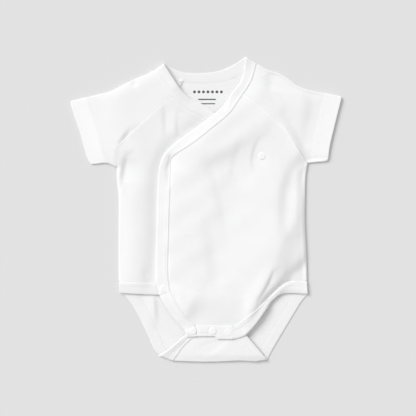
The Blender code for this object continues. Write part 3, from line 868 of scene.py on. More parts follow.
FOLD_TRIM = 1.3  # taken off a seam edge where it runs on to a fold
FOLD_END = 0.4  # taken off the ends of the fold itself
TURN_ROWS = 8


def edge_of(line: Array, side: Side = Side.LEFT, at_start: float = 0, at_end: float = 0) -> Array:
    """The edge of a piece that is sewn along a line.

    Args:
        line: the seam line.
        side: where the piece lies.
        at_start: the length taken off the start.
        at_end: the length taken off the end.

    Returns:
        The edge's points.
    """
    return trimmed(line - side.value * normals(line) * GAUGE.lap / 2, at_start, at_end)


def fold_edge(line: Array, side: Side = Side.LEFT) -> Array:
    """Where a panel starts to turn over a closed edge."""
    inset = GAUGE.fold_radius + GAUGE.cloth / 2
    return trimmed(line + side.value * normals(line) * inset, FOLD_END, FOLD_END)


def fine(edge: Array, most: float = 1.5) -> Array:
    """The edge with its points no further apart than this."""
    lengths = lengths_along(edge)
    count = max(2, math.ceil(lengths[-1] / most) + 1)
    stops = np.unique(np.concatenate([lengths, np.linspace(0, lengths[-1], count)]))
    keep = np.concatenate([[True], np.diff(stops) > NEAREST])
    return spots(edge, lengths, stops[keep])


def turn_over(low: Array, high: Array, outward: Array, radius: float) -> list[Array]:
    """Rows that carry cloth round a closed edge, from its lower layer's row to its upper layer's."""
    rows = []
    for step in range(1, TURN_ROWS):
        angle = math.pi * (step / TURN_ROWS - 0.5)
        row = low + (high - low) * (1 + math.sin(angle)) / 2
        row[:, :2] += outward * radius * math.cos(angle)
        rows.append(row)
    return rows


def fold_rows(fold: Array, low: Heights, high: Heights, outward: Array) -> Array:
    """The rows that join a panel's two layers along a fold.

    Args:
        fold: where both layers start to turn.
        low: the lower layer's height.
        high: the upper layer's height.
        outward: the unit vector at each point that points out over the fold.

    Returns:
        The rows, from the lower layer's to the upper layer's.
    """
    low_row, high_row = (np.column_stack([fold, height(fold)]) for height in (low, high))
    return np.array([low_row, *turn_over(low_row, high_row, outward, GAUGE.fold_radius), high_row])


class Wiring:
    """Adds nodes to a tree and joins them."""

    def __init__(self, tree: bpy.types.NodeTree) -> None:
        """Starts on this tree."""
        self.tree = tree

    def feed(self, node: Node, inputs: dict[str | int, object]) -> Node:
        """Sets a node's inputs.

        Args:
            node: the node.
            inputs: for each input a constant, the socket that feeds it, or a node whose first output does.

        Returns:
            The same node.
        """
        for key, value in inputs.items():
            source = value.outputs[0] if isinstance(value, Node) else value
            if isinstance(source, bpy.types.NodeSocket):
                self.tree.links.new(source, node.inputs[key])
            else:
                node.inputs[key].default_value = source
        return node

    def add(self, kind: str, inputs: dict[str | int, object], **settings: object) -> Node:
        """Adds a node of a kind, with its inputs and settings."""
        node = self.tree.nodes.new(kind)
        for name, value in settings.items():
            setattr(node, name, value)
        return self.feed(node, inputs)

    def maths(self, operation: str, *values: object) -> Node:
        """Adds one arithmetic node."""
        return self.add("ShaderNodeMath", dict(enumerate(values)), operation=operation)

    def tint(
        self,
        share: Node,
        colour: tuple[float, float, float],
        darkest: float,
        stops: tuple[float, float],
    ) -> Node:
        """Adds a ramp from a darker tone of a colour to the colour itself.

        Args:
            share: picks the place on the ramp.
            colour: the colour at its end.
            darkest: the share of that colour at its start.
            stops: where the ramp starts and ends.

        Returns:
            The ramp.
        """
        node = self.add("ShaderNodeValToRGB", {0: share})
        for element, stop, gain in zip(node.color_ramp.elements, stops, (darkest, 1)):
            element.position = stop
            element.color = (*[value * gain for value in colour], 1)
        return node


@dataclass(frozen=True)
class KnitFinish:
    """Cotton knit: its colour, the size of its stitches and how matte and fuzzy it is."""

    name: str
    colour: tuple[float, float, float] = (0.910, 0.910, 0.915)
    roughness: float = 0.92
    specular: float = 0.25
    wale: float = 0.95
    course: float = 0.75
    leg_slant: float = 1.3  # how steeply the legs of a loop run towards the middle of its wale
    loop_share: float = 0.5  # of the relief
    wale_share: float = -0.6
    relief: float = 0.05
    fuzz: float = 0.03
    sheen: float = 0.15
    sheen_roughness: float = 0.6
    fibre_scale: float = 1400.0
    cloud_scale: float = 45.0
    cloud_tone: float = 0.985  # the share of the colour in its darker clouds
    doubled_gain: float = 1.05  # how much paler it looks where it lies double and lets no light through

    def relief_of(self, wiring: Wiring) -> Node:
        """Adds the height of the knit's loops, slanted to both sides of each wale."""
        place = wiring.add("ShaderNodeUVMap", {}, uv_map=KNIT_MAP)
        parts = wiring.add("ShaderNodeSeparateXYZ", {0: place})
        wale = wiring.maths("FRACT", wiring.maths("DIVIDE", parts.outputs["X"], self.wale))
        across = wiring.maths("ABSOLUTE", wiring.maths("SUBTRACT", wale, 0.5))
        along = wiring.maths("DIVIDE", parts.outputs["Y"], self.course)
        slant = wiring.maths("ADD", along, wiring.maths("MULTIPLY", across, self.leg_slant))
        loops = wiring.maths("COSINE", wiring.maths("MULTIPLY", slant, 2 * math.pi))
        wales = wiring.maths("COSINE", wiring.maths("MULTIPLY", across, 4 * math.pi))
        ribs = wiring.maths("MULTIPLY", wales, self.wale_share)
        return wiring.maths("ADD", wiring.maths("MULTIPLY", loops, self.loop_share), ribs)

    def material(self) -> Material:
        """Builds the knit from its piece's own flat coordinates, which are in millimetres."""
        made = bpy.data.materials.new(self.name)
        made.use_nodes = True
        wiring = Wiring(made.node_tree)
        knit = self.relief_of(wiring)
        body = wiring.add("ShaderNodeTexCoord", {}).outputs["Object"]
        fibres = wiring.add("ShaderNodeTexNoise", {"Vector": body, "Scale": self.fibre_scale, "Detail": 2})
        raised = {"Height": knit, "Distance": self.relief * METRES, "Strength": 1.0}
        bump = wiring.add("ShaderNodeBump", raised)
        raised = {"Height": fibres, "Distance": self.fuzz * METRES, "Normal": bump}
        fuzz = wiring.add("ShaderNodeBump", raised)
        clouds = wiring.add("ShaderNodeTexNoise", {"Vector": body, "Scale": self.cloud_scale, "Detail": 3})
        tint = wiring.tint(clouds, self.colour, self.cloud_tone, (0.3, 0.7))
        layers = wiring.add("ShaderNodeAttribute", {}, attribute_name=DOUBLED)
        paler = (*[value * self.doubled_gain for value in self.colour], 1)
        tones = {"Factor": layers.outputs["Fac"], "A": tint, "B": paler}
        dense = wiring.add("ShaderNodeMix", tones, data_type="RGBA")
        wiring.feed(
            made.node_tree.nodes["Principled BSDF"],
            {
                "Base Color": dense.outputs["Result"],
                "Roughness": self.roughness,
                "Specular IOR Level": self.specular,
                "Sheen Weight": self.sheen,
                "Sheen Roughness": self.sheen_roughness,
                "Normal": fuzz,
            },
        )
        return made


@dataclass(frozen=True)
class PlainFinish:
    """A smooth finish with a slight mottle: snap caps, thread and ink."""

    name: str
    colour: tuple[float, float, float]
    roughness: float
    coat: float = 0.0
    mottle: float = 0.02
    grain: float = 900.0
    relief: float = 0.01

    def material(self) -> Material:
        """Builds the finish on the object's own coordinates."""
        made = bpy.data.materials.new(self.name)
        made.use_nodes = True
        wiring = Wiring(made.node_tree)
        body = wiring.add("ShaderNodeTexCoord", {}).outputs["Object"]
        noise = wiring.add("ShaderNodeTexNoise", {"Vector": body, "Scale": self.grain})
        bump = wiring.add("ShaderNodeBump", {"Height": noise, "Distance": self.relief * METRES})
        wiring.feed(
            made.node_tree.nodes["Principled BSDF"],
            {
                "Base Color": wiring.tint(noise, self.colour, 1 - self.mottle, (0, 1)),
                "Roughness": self.roughness,
                "Coat Weight": self.coat,
                "Normal": bump,
            },
        )
        return made


@dataclass(frozen=True)
class Wardrobe:
    """The finished materials that the pieces share."""

    jersey: Material
    rib: Material
    enamel: Material
    thread: Material
    ink: Material

    @classmethod
    def stocked(cls) -> Wardrobe:
        """Builds each finish once."""
        rib = KnitFinish("white_rib", (0.918, 0.918, 0.923), wale=1.25, course=0.8, relief=0.07)
        return cls(
            jersey=KnitFinish("white_jersey").material(),
            rib=rib.material(),
            enamel=PlainFinish("white_enamel", (0.92, 0.92, 0.92), 0.38, coat=0.25).material(),
            thread=PlainFinish("white_thread", (0.95, 0.95, 0.95), 0.7, relief=0.02).material(),
            ink=PlainFinish("grey_ink", (0.10, 0.10, 0.105), 0.8, mottle=0.12).material(),
        )


@dataclass(frozen=True)
class Panel:
    """A finished panel of cloth and the area that it was cut to, in square metres."""

    piece: Piece
    area: float

    @classmethod
    def sewn(cls, cloth: Cloth, node: str, jersey: Material, doubled: Heights | None) -> Panel:
        """Finishes a panel.

        Args:
            cloth: what it is made of.
            node: the CAD node that it stands for.
            jersey: its finish.
            doubled: gives 1 where the cloth lies double and 0 where it is single.

        Returns:
            The panel.
        """
        piece = worn(cloth.to_object(jersey, Face.UP), "knit", node)
        if doubled:
            places = np.array([vertex.co[:2] for vertex in piece.data.vertices]) / METRES
            layers = piece.data.attributes.new(DOUBLED, "FLOAT", "POINT")
            layers.data.foreach_set("value", doubled(places).astype(np.float32))
        return cls(piece, cloth.flat_area())

    def declare(
        self, flat: tuple[float, float], rests_on: tuple[str, ...] = (), with_pieces: tuple[str, ...] = ()
    ) -> None:
        """Args:
            flat: the width and length of its cut, in metres.
            rests_on: the panels that it lies on; not used.
            with_pieces: what is sewn to it; not used.
        """
        area = min(self.area, flat[0] * flat[1])


@dataclass
class Body:
    """The back with its crotch flap, and the two fronts."""

    lay: Lay
    wardrobe: Wardrobe
    back_step: float = 1.6
    front_step: float = 1.4
    seam_allowance: float = 2.4
    allowance_edge: float = 1.6  # over which the doubling ends
    allowance_share: float = 0.75  # how much of a second layer what is turned in makes

    @staticmethod
    def patch(cloth: Cloth, outline: Array, free: list[Array], height: Heights, step: float) -> None:
        """Adds a flat-cut patch to a piece.

        Args:
            cloth: the piece.
            outline: the patch's outline.
            free: the lines where the cloth ends and its edge is rounded.
            height: the layer that it follows.
            step: its grid.
        """
        points, faces = filled(outline, step)
        half = rounded(distance(points, free), GAUGE.cloth / 2, GAUGE.seam_round)
        middle = np.column_stack([points, height(points)])
        cloth.add(middle, half, half, points, faces)

    def make_back(self) -> Panel:
        """The back panel, with its lower end folded up over the crotch fold."""
        neck = cut(seam_line(NECK_BACK), RAGLAN_BACK_LEFT[0], RAGLAN_BACK_RIGHT[0])
        fold = fold_edge(smooth(CROTCH_FOLD))
        left = [
            edge_of(smooth(RAGLAN_BACK_LEFT)),
            edge_of(smooth(SIDE_LEFT)),
            edge_of(seam_line(LEG_BACK_LEFT), at_end=FOLD_TRIM),
        ]
        right = [
            edge_of(seam_line(LEG_BACK_RIGHT)[::-1], at_start=FOLD_TRIM),
            edge_of(smooth(SIDE_RIGHT)[::-1]),
            edge_of(smooth(RAGLAN_BACK_RIGHT)[::-1]),
            edge_of(neck[::-1]),
        ]
        flap = [
            edge_of(seam_line(FLAP_RIGHT), at_start=FOLD_TRIM),
            edge_of(seam_line(FLAP_LEFT)[::-1], at_end=FOLD_TRIM),
        ]
        cloth = Cloth("back_panel_cloth")
        self.patch(cloth, np.vstack([*left, fold, *right]), left + right, self.lay.back, self.back_step)
        self.patch(cloth, np.vstack([fold, *flap]), flap, self.lay.flap, self.front_step)
        rows = fold_rows(fold, self.lay.back, self.lay.flap, -normals(fold))
        half = np.full(rows.shape[:2], GAUGE.cloth / 2)
        cloth.add_rows(rows, half, half, rows[:, :, :2])
        return Panel.sewn(cloth, "back_panel", self.wardrobe.jersey, None)

    def front(self, node: str, edges: list[Array], height: Heights, raglan: Table) -> Panel:
        """A front, which is one patch.

        Args:
            node: the CAD node that it stands for.
            edges: its edges, which make its outline.
            height: the layer that it follows.
            raglan: the seam beside which what is turned in doubles it.

        Returns:
            The panel.
        """
        line = curved(raglan)

        def doubled(points: Array) -> Array:
            """How far the cloth lies double beside the raglan."""
            inside = self.seam_allowance - distance(points, [line])
            return self.allowance_share * eased(inside / self.allowance_edge + 0.5)

        cloth = Cloth(node + "_cloth")
        self.patch(cloth, np.vstack(edges), edges, height, self.front_step)
        return Panel.sewn(cloth, node, self.wardrobe.jersey, doubled)

    def make_under(self) -> Panel:
        """The front sewn into the left side, which runs on under the other."""
        edges = [
            edge_of(smooth(RAGLAN_FRONT_LEFT)),
            edge_of(smooth(SIDE_LEFT)),
            edge_of(cut(seam_line(HEM), HEM[0][2:], UNDER_CORNER)),
            edge_of(cut(seam_line(NECK_UNDER), NECK_UNDER[0][2:], RAGLAN_FRONT_LEFT[0])),
        ]
        return self.front("front_under", edges, self.lay.under, RAGLAN_FRONT_LEFT)

    def make_over(self) -> Panel:
        """The front sewn into the right side, which wraps over to the left."""
        wrap = cut(seam_line(NECK_OVER), RAGLAN_FRONT_RIGHT[0], NECK_OVER[-1][2:])
        leg = cut(seam_line(LEG_FRONT_LEFT), LEG_FRONT_LEFT[0][2:], CROTCH_BAND_UPPER[-1])
        edges = [
            edge_of(np.vstack([wrap, leg[1:]])),
            edge_of(smooth(CROTCH_BAND_UPPER)[::-1]),
            edge_of(seam_line(LEG_FRONT_RIGHT)),
            edge_of(smooth(SIDE_RIGHT)[::-1]),
            edge_of(smooth(RAGLAN_FRONT_RIGHT)[::-1]),
        ]
        return self.front("front_over", edges, self.lay.over, RAGLAN_FRONT_RIGHT)


@dataclass
class Sleeve:
    """A short raglan sleeve, pressed flat, with its hem turned up inside."""

    node: str
    side: Side
    shoulder: Table
    cuff: Table
    underarm: Table
    front: tuple[Table, Table]  # the raglan of the upper layer, and the neck binding that it meets
    back: tuple[Table, Table]  # the same of the lower layer
    height: Heights
    step: float = 1.6
    hem_depth: float = 19.0
    hem_extra: float = 0.08  # what the doubled hem adds to half the thickness
    hem_edge: float = 3.0  # over which the doubling ends
    cuff_middle: float = 1.6  # the upper layer's height at the cuff
    cuff_reach: float = 34.0
    cuff_flatness: float = 2.0
    raglan_row: float = 0.75  # how far from the seam its stitches lie
    hem_rows: tuple[float, float] = (2.5, 0.3)  # how far short of the hem's end they lie
    row_trim: float = 1.5  # how far short of the folds they end

    def cuff_height(self, points: Array) -> Array:
        """The upper layer's height, which sinks towards the cuff."""
        gap = distance(points, [smooth(self.cuff, ROUGH_STEP)])
        height = self.height(points)
        near = np.exp(-((gap / self.cuff_reach) ** self.cuff_flatness))
        return height + np.minimum(self.cuff_middle - height, 0) * near

    def hem_share(self, points: Array) -> Array:
        """1 where the hem is doubled, 0 further up the sleeve."""
        gap = distance(points, [smooth(self.cuff, ROUGH_STEP)])
        return eased((self.hem_depth - gap) / self.hem_edge + 0.5)

    def low(self, points: Array) -> Array:
        """Half the thickness of a layer, more where the hem doubles it, so also the lower one's height."""
        return GAUGE.cloth / 2 + self.hem_extra * self.hem_share(points)

    def high(self, points: Array) -> Array:
        """The upper layer's height, raised where the hem doubles it."""
        return self.cuff_height(points) + self.hem_extra * self.hem_share(points)

    def grain(self, points: Array) -> Array:
        """Points in the sleeve's own knit, whose wales run from the shoulder to the cuff."""
        start, end = np.array(self.shoulder[0]), np.array(self.shoulder[-1])
        along = (end - start) / np.linalg.norm(end - start)
        across = np.array([-along[1], along[0]])
        return np.stack([points @ across, points @ along], axis=1)

    def make(self, wardrobe: Wardrobe) -> Panel:
        """Builds the sleeve as one flattened tube."""
        folds = [fold_edge(smooth(line), self.side) for line in (self.shoulder, self.underarm)]
        cuff = edge_of(smooth(self.cuff), self.side, FOLD_TRIM, FOLD_TRIM)
        cloth = Cloth(self.node + "_cloth")
        half = GAUGE.cloth / 2
        for (raglan, binding), height in ((self.back, self.low), (self.front, self.high)):
            raglan_edge = edge_of(smooth(raglan)[::-1], self.side, at_start=FOLD_TRIM)
            neck = cut(seam_line(binding), raglan[0], self.shoulder[0])
            neck_edge = edge_of(neck, self.side, at_end=FOLD_TRIM)
            points, faces = filled(np.vstack([folds[0], cuff, folds[1], raglan_edge, neck_edge]), self.step)
            seams = distance(points, [raglan_edge, neck_edge])
            thick = rounded(distance(points, [cuff]), self.low(points), half)
            sewn = np.minimum(thick, rounded(seams, half, GAUGE.seam_round))
            thick = np.where(seams > GAUGE.seam_round, thick, sewn)
            cloth.add(np.column_stack([points, height(points)]), thick, thick, self.grain(points), faces)
        for fold in folds:
            rows = fold_rows(fold, self.low, self.high, -self.side.value * normals(fold))
            size = rows.shape[:2]
            flat = rows[:, :, :2].reshape(-1, 2)
            grain = self.grain(flat).reshape(*size, 2)
            cloth.add_rows(rows, self.low(flat).reshape(size), np.full(size, half), grain)
        return Panel.sewn(cloth, self.node, wardrobe.jersey, self.hem_share)

    def stitch(self, rows: StitchRows, own: Piece, front: Piece, lowest: Heights) -> None:
        """Sews the sleeve to its front and its hem down.

        Args:
            rows: takes the stitches.
            own: the sleeve's piece.
            front: the piece of the front.
            lowest: about where the lower layer lies.
        """
        raglan, cuff = smooth(self.front[0], ROW_STEP), smooth(self.cuff, ROW_STEP)
        aside = self.side.value * normals(raglan) * self.raglan_row
        rows.run(own, raglan - aside, self.height)
        rows.run(front, raglan + aside, self.height)
        end = lengths_along(cuff)[-1] - self.row_trim
        for short in self.hem_rows:
            line = cuff + self.side.value * normals(cuff) * (self.hem_depth - short)
            row = stretch(line, self.row_trim, end)
            rows.run(own, row, self.cuff_height)
            rows.run(own, row, lowest, from_above=False)


@dataclass(frozen=True)
class Stretch:
    """A stretch of a binding between two creases, or between a crease and an end."""

    sections: Table
    height: Heights
    face: Face = Face.UP
    starts_at_crease: bool = False
    ends_at_crease: bool = False
    thickness: float = 1.6
    taper: float = 1.3  # how far from the seam it thins to the thickness of the panel

    @property
    def build(self) -> Array:
        """Its thickness and taper, and 1 if its outside may swell or 0 if it rests on what is below."""
        return np.array([self.thickness, self.taper, 1.0 if self.face is Face.UP else 0.0])


# The columns of a binding's mesh, as shares of its width from its outer edge to its seam.
ACROSS = np.array(
    (
        0, 0.008, 0.03, 0.07, 0.13, 0.22, 0.34, 0.44, 0.5, 0.55, 0.59, 0.63,
        0.68, 0.75, 0.82, 0.86, 0.89, 0.92, 0.945, 0.965, 0.985, 0.995, 1,
    )
)


@dataclass
class Binding:
    """A strip of knit sewn along an edge, turned over where the garment is folded."""

    node: str
    stretches: list[Stretch]
    groove: tuple[float, float, float] = (0.14, 0.6, 0.05)  # its depth, place across and width
    swells: Table = ((0.1, 0.25, 0.2), (0.05, 0.76, 0.09))  # the same of the rolls on both sides of it
    edge_round: float = 1.6
    end_round: float = 0.12
    near_end: tuple[float, ...] = (0.04, 0.12, 0.5)  # rows this far from an open end
    row_clear: float = 1.0  # how far the other rows keep from the ends
    stitch_clear: float = 1.2  # how far stitches keep from an open end
    crease_clear: float = 2.2  # how far they keep from a crease

    @staticmethod
    def half(widths: Array, thickness: float | Array, taper: float | Array) -> Array:
        """Half the strip's thickness at each row and column, before its edges are rounded."""
        full = eased((1 - ACROSS) * widths / taper)
        return GAUGE.cloth / 2 + (thickness - GAUGE.cloth) / 2 * full

    def section_rows(self, sections: Array, part: Stretch) -> tuple[Array, Array]:
        """The middle of the strip, as rows of points, and a column of how wide each row is."""
        outer, seam = sections[:, :2], sections[:, 2:]
        straight = np.abs(np.sum((outer - seam) * normals(seam), axis=1))[:, None]
        seam = seam - (outer - seam) * GAUGE.lap / 2 / straight
        flat = outer[:, None] + (seam - outer)[:, None] * ACROSS[:, None]
        widths = np.linalg.norm(seam - outer, axis=1)[:, None]
        heights = part.height(flat.reshape(-1, 2)).reshape(flat.shape[:2])
        lift = self.half(widths, part.thickness, part.taper) - GAUGE.cloth / 2
        return np.dstack([flat, heights + lift]), widths

    @staticmethod
    def ridge(rise: float, place: float, width: float) -> Array:
        """The height of a soft ridge along the strip, at each of its columns."""
        return rise * np.exp(-(((ACROSS - place) / width) ** 2))

    def profile(self, half: Array, widths: Array, ends: Array, puffs: Array) -> tuple[Array, Array]:
        """How far the outside and inside faces lie from the middle.

        Args:
            half: half the strip's thickness, at each row and column.
            widths: a column of how wide each row is.
            ends: a column of how far each row is from the strip's nearest end.
            puffs: a column of 1 for each row whose outside may swell.

        Returns:
            The outside's and the inside's distance, at each row and column.
        """
        closed = rounded(ends, 1.0, self.end_round)
        edge = half * rounded(ACROSS * widths, 1.0, self.edge_round)
        edge = edge * rounded((1 - ACROSS) * widths, 1.0, GAUGE.strip_round) * closed
        puff = sum(self.ridge(*swell) for swell in self.swells)
        return edge + (puff * puffs - self.ridge(*self.groove)) * closed, edge

    def make(self, wardrobe: Wardrobe) -> Piece:
        """Builds the strip, stretch after stretch."""
        middle: list[Array] = []
        builds: list[Array] = []  # columns width, thickness, taper, puff
        for index, part in enumerate(self.stretches):
            rows, wide = self.section_rows(self.without_creases(smooth(part.sections), part), part)
            if index:
                outward = self.crease_outward(part.sections[0])
                turned = turn_over(middle[-1][-1], rows[0], outward, GAUGE.binding_fold_radius)
                before = self.stretches[index - 1].build
                shares = np.arange(1, TURN_ROWS)[:, None] / TURN_ROWS
                middle.append(np.array(turned))
                changing = before + (part.build - before) * shares
                builds.append(np.hstack([np.full((len(turned), 1), wide[0]), changing]))
            middle.append(rows)
            builds.append(np.hstack([wide, np.tile(part.build, (len(wide), 1))]))
        every = np.vstack(middle)
        width, thickness, taper, puffs = np.split(np.vstack(builds), 4, axis=1)
        centre = every[:, len(ACROSS) // 2]
        steps = np.linalg.norm(np.diff(centre, axis=0), axis=1)
        walked = np.concatenate([[0], np.cumsum(steps)])[:, None]
        ends = np.minimum(walked, walked[-1] - walked)
        outside, inside = self.profile(self.half(width, thickness, taper), width, ends, puffs)
        grain = np.dstack([ACROSS * width, np.tile(walked, len(ACROSS))])
        cloth = Cloth(self.node + "_rib")
        cloth.add_rows(every, outside, inside, grain)
        return worn(cloth.to_object(wardrobe.rib, self.stretches[-1].face), "binding", self.node)

    def without_creases(self, sections: Array, part: Stretch) -> Array:
        """The sections of a stretch, kept clear of the creases at its ends."""
        inset = GAUGE.binding_fold_radius + GAUGE.binding / 2
        lengths = lengths_along((sections[:, :2] + sections[:, 2:]) / 2)
        first = inset if part.starts_at_crease else 0.0
        last = lengths[-1] - (inset if part.ends_at_crease else 0.0)
        near = np.array((0.0,) if part.starts_at_crease else (0.0, *self.near_end))
        far = np.array((0.0,) if part.ends_at_crease else (0.0, *self.near_end))[::-1]
        inner = lengths[(lengths > first + self.row_clear) & (lengths < last - self.row_clear)]
        return spots(sections, lengths, np.concatenate([first + near, inner, last - far]))

    def row(self, part: Stretch, inset: float) -> Array:
        """The line on a stretch that runs this far from its seam."""
        sections = smooth(part.sections, ROW_STEP)
        outer, seam = sections[:, :2], sections[:, 2:]
        widths = np.linalg.norm(outer - seam, axis=1)[:, None]
        line = seam + (outer - seam) * inset / widths
        creased = part.starts_at_crease or part.ends_at_crease
        clear = self.crease_clear if creased else self.stitch_clear
        return trimmed(line, clear, clear)

    @staticmethod
    def crease_outward(section: tuple[float, ...]) -> Array:
        """The unit vector that points out over a crease, away from the garment's middle."""
        outer, seam = np.array(section[:2]), np.array(section[2:])
        along = outer - seam
        across = np.array([-along[1], along[0]]) / np.linalg.norm(along)
        return across if across @ outer > 0 else -across


@dataclass
class CrotchBand:
    """The short band at the lower end of the over front, which carries the snaps."""

    height: Heights
    step: float = 0.9
    thickness: float = 1.5
    taper: float = 1.3
    edge_round: float = 1.2
    tape: Table = ((-8.0, -137.4), (2.6, -131.2))  # the low and high corners of a tape stitched on
    tape_rise: float = 0.35
    tape_edge: float = 0.9

    def make(self, wardrobe: Wardrobe) -> Piece:
        """Builds the band as one thick patch between the two leg bindings."""
        left = edge_of(cut(seam_line(LEG_FRONT_LEFT), CROTCH_BAND_UPPER[-1], CROTCH_BAND_LOWER[0]))
        lower = edge_of(np.array(CROTCH_BAND_LOWER, float))
        right = edge_of(np.array([CROTCH_BAND_LOWER[-1], CROTCH_BAND_UPPER[0]], float))
        upper = edge_of(smooth(CROTCH_BAND_UPPER, SEAM_STEP))
        points, faces = filled(np.vstack([fine(edge) for edge in (left, lower, right, upper)]), self.step)
        full = eased(distance(points, [upper]) / self.taper) * eased(distance(points, [left]) / self.taper)
        half = GAUGE.cloth / 2 + (self.thickness - GAUGE.cloth) / 2 * full
        thick = half * rounded(distance(points, [lower]), 1.0, self.edge_round)
        thick = thick * rounded(distance(points, [left, upper, right]), 1.0, GAUGE.strip_round)
        low, high = np.array(self.tape)
        inside = np.minimum(points - low, high - points).min(axis=1)
        raised = thick + self.tape_rise * eased(inside / self.tape_edge)
        middle = self.height(points) + half - GAUGE.cloth / 2
        band = Cloth("crotch_band_rib")
        band.add(np.column_stack([points, middle]), raised, thick, points, faces)
        return worn(band.to_object(wardrobe.rib, Face.UP), "binding", "crotch_band")


class Thread(Enum):
    """How the stitches of a row lie: along it, or across it as on the inside of a seam."""

    ALONG = 0.0
    ACROSS = math.pi / 2


@dataclass
class StitchRows:
    """Rows of stitches laid on the pieces that they hold together."""

    name: str
    slot: str
    lay_of_thread: Thread
    pitch: float = 2.8
    length: float = 2.1
    radius: float = 0.27
    lift: float = 0.08
    sunk: float = 0.04  # how far the stitches of a lower face stand out of it
    reach: float = 1.9  # a piece's face is no further than this from its middle
    afar: float = 50.0  # a height above everything
    fewest: int = 4  # points in a row that is long enough for a stitch
    points: list[Array] = field(default_factory=list)

    def run(self, piece: Piece, line: Array, height: Heights, from_above: bool = True) -> None:
        """Adds a row along a line on one piece.

        Args:
            piece: the piece that the row lies on.
            line: the row's points, as x, y in millimetres.
            height: about where the piece's middle lies, so that a row stops where the piece is covered.
            from_above: whether it lies on the piece's upper or its lower face.
        """
        tree = BVHTree.FromPolygons(
            [vertex.co[:] for vertex in piece.data.vertices],
            [polygon.vertices[:] for polygon in piece.data.polygons],
        )
        side = 1 if from_above else -1
        lift = self.lift if from_above else self.sunk - self.radius
        row: list[list[float]] = []
        for (x, y), middle in zip(line, height(line)):
            start = Vector((x * METRES, y * METRES, side * self.afar * METRES))
            hit, *_ = tree.ray_cast(start, Vector((0, 0, -side)))
            level = math.inf if hit is None else hit.z / METRES
            if abs(level - middle) > self.reach:
                self.close(row)
                row = []
            else:
                row.append([x, y, level + side * lift])
        self.close(row)

    def close(self, row: list[list[float]]) -> None:
        """Keeps a finished stretch of a row if it is long enough for a stitch."""
        if len(row) >= self.fewest:
            self.points.append(np.array(row))

    def tree(self, material: Material) -> bpy.types.GeometryNodeTree:
        """A node tree that sets a stitch at every step along the edges that it is given."""
        tree = bpy.data.node_groups.new(self.name, "GeometryNodeTree")
        new_socket = tree.interface.new_socket
        new_socket(name="Rows", in_out="INPUT", socket_type="NodeSocketGeometry")
        for name in ("Pitch", "Length", "Radius", "Turn"):
            new_socket(name=name, in_out="INPUT", socket_type="NodeSocketFloat")
        new_socket(name="Stitches", in_out="OUTPUT", socket_type="NodeSocketGeometry")
        add = Wiring(tree).add
        given = add("NodeGroupInput", {}).outputs
        curve = add("GeometryNodeMeshToCurve", {0: given["Rows"]})
        steps = add("GeometryNodeResampleCurve", {"Curve": curve, "Length": given["Pitch"]}, mode="LENGTH")
        bead = add("GeometryNodeMeshUVSphere", {"Segments": 6, "Rings": 5})
        halved = add("ShaderNodeMath", {0: given["Length"], 1: 2}, operation="DIVIDE")
        size = add("ShaderNodeCombineXYZ", {"X": given["Radius"], "Y": given["Radius"], "Z": halved})
        shape = add("GeometryNodeTransform", {"Geometry": bead, "Scale": size})
        turn = add("ShaderNodeCombineXYZ", {"X": given["Turn"]})
        turned = add("GeometryNodeTransform", {"Geometry": shape, "Rotation": turn})
        tangent = add("GeometryNodeInputTangent", {})
        along = add("FunctionNodeAlignRotationToVector", {"Vector": tangent}, axis="Z")
        up = {"Rotation": along, "Vector": (0, 0, 1)}
        upright = add("FunctionNodeAlignRotationToVector", up, axis="X", pivot_axis="Z")
        places = {"Points": steps, "Instance": turned, "Rotation": upright}
        real = add("GeometryNodeRealizeInstances", {0: add("GeometryNodeInstanceOnPoints", places)})
        finish = add("GeometryNodeSetMaterial", {"Geometry": real, "Material": material})
        add("NodeGroupOutput", {0: finish})
        return tree

    def make(self, material: Material) -> Piece:
        """Turns the rows into stitches of one plain mesh."""
        edges: list[tuple[int, int]] = []
        count = 0
        for row in self.points:
            edges += [(count + i, count + i + 1) for i in range(len(row) - 1)]
            count += len(row)
        rows = bpy.data.meshes.new(self.name)
        rows.from_pydata((np.vstack(self.points) * METRES).tolist(), edges, [])
        piece = linked(self.name, rows)
        tree = self.tree(material)
        modifier = piece.modifiers.new("stitches", "NODES")
        modifier.node_group = tree
        values = {
            "Pitch": self.pitch * METRES,
            "Length": self.length * METRES,
            "Radius": self.radius * METRES,
            "Turn": self.lay_of_thread.value,
        }
        for item in tree.interface.items_tree:
            if item.name in values:
                modifier[item.identifier] = values[item.name]
        graph = bpy.context.evaluated_depsgraph_get()
        made = bpy.data.meshes.new_from_object(piece.evaluated_get(graph))
        piece.modifiers.clear()
        piece.data = made
        bpy.data.meshes.remove(rows)
        made.shade_smooth()
        return worn(piece, self.slot)


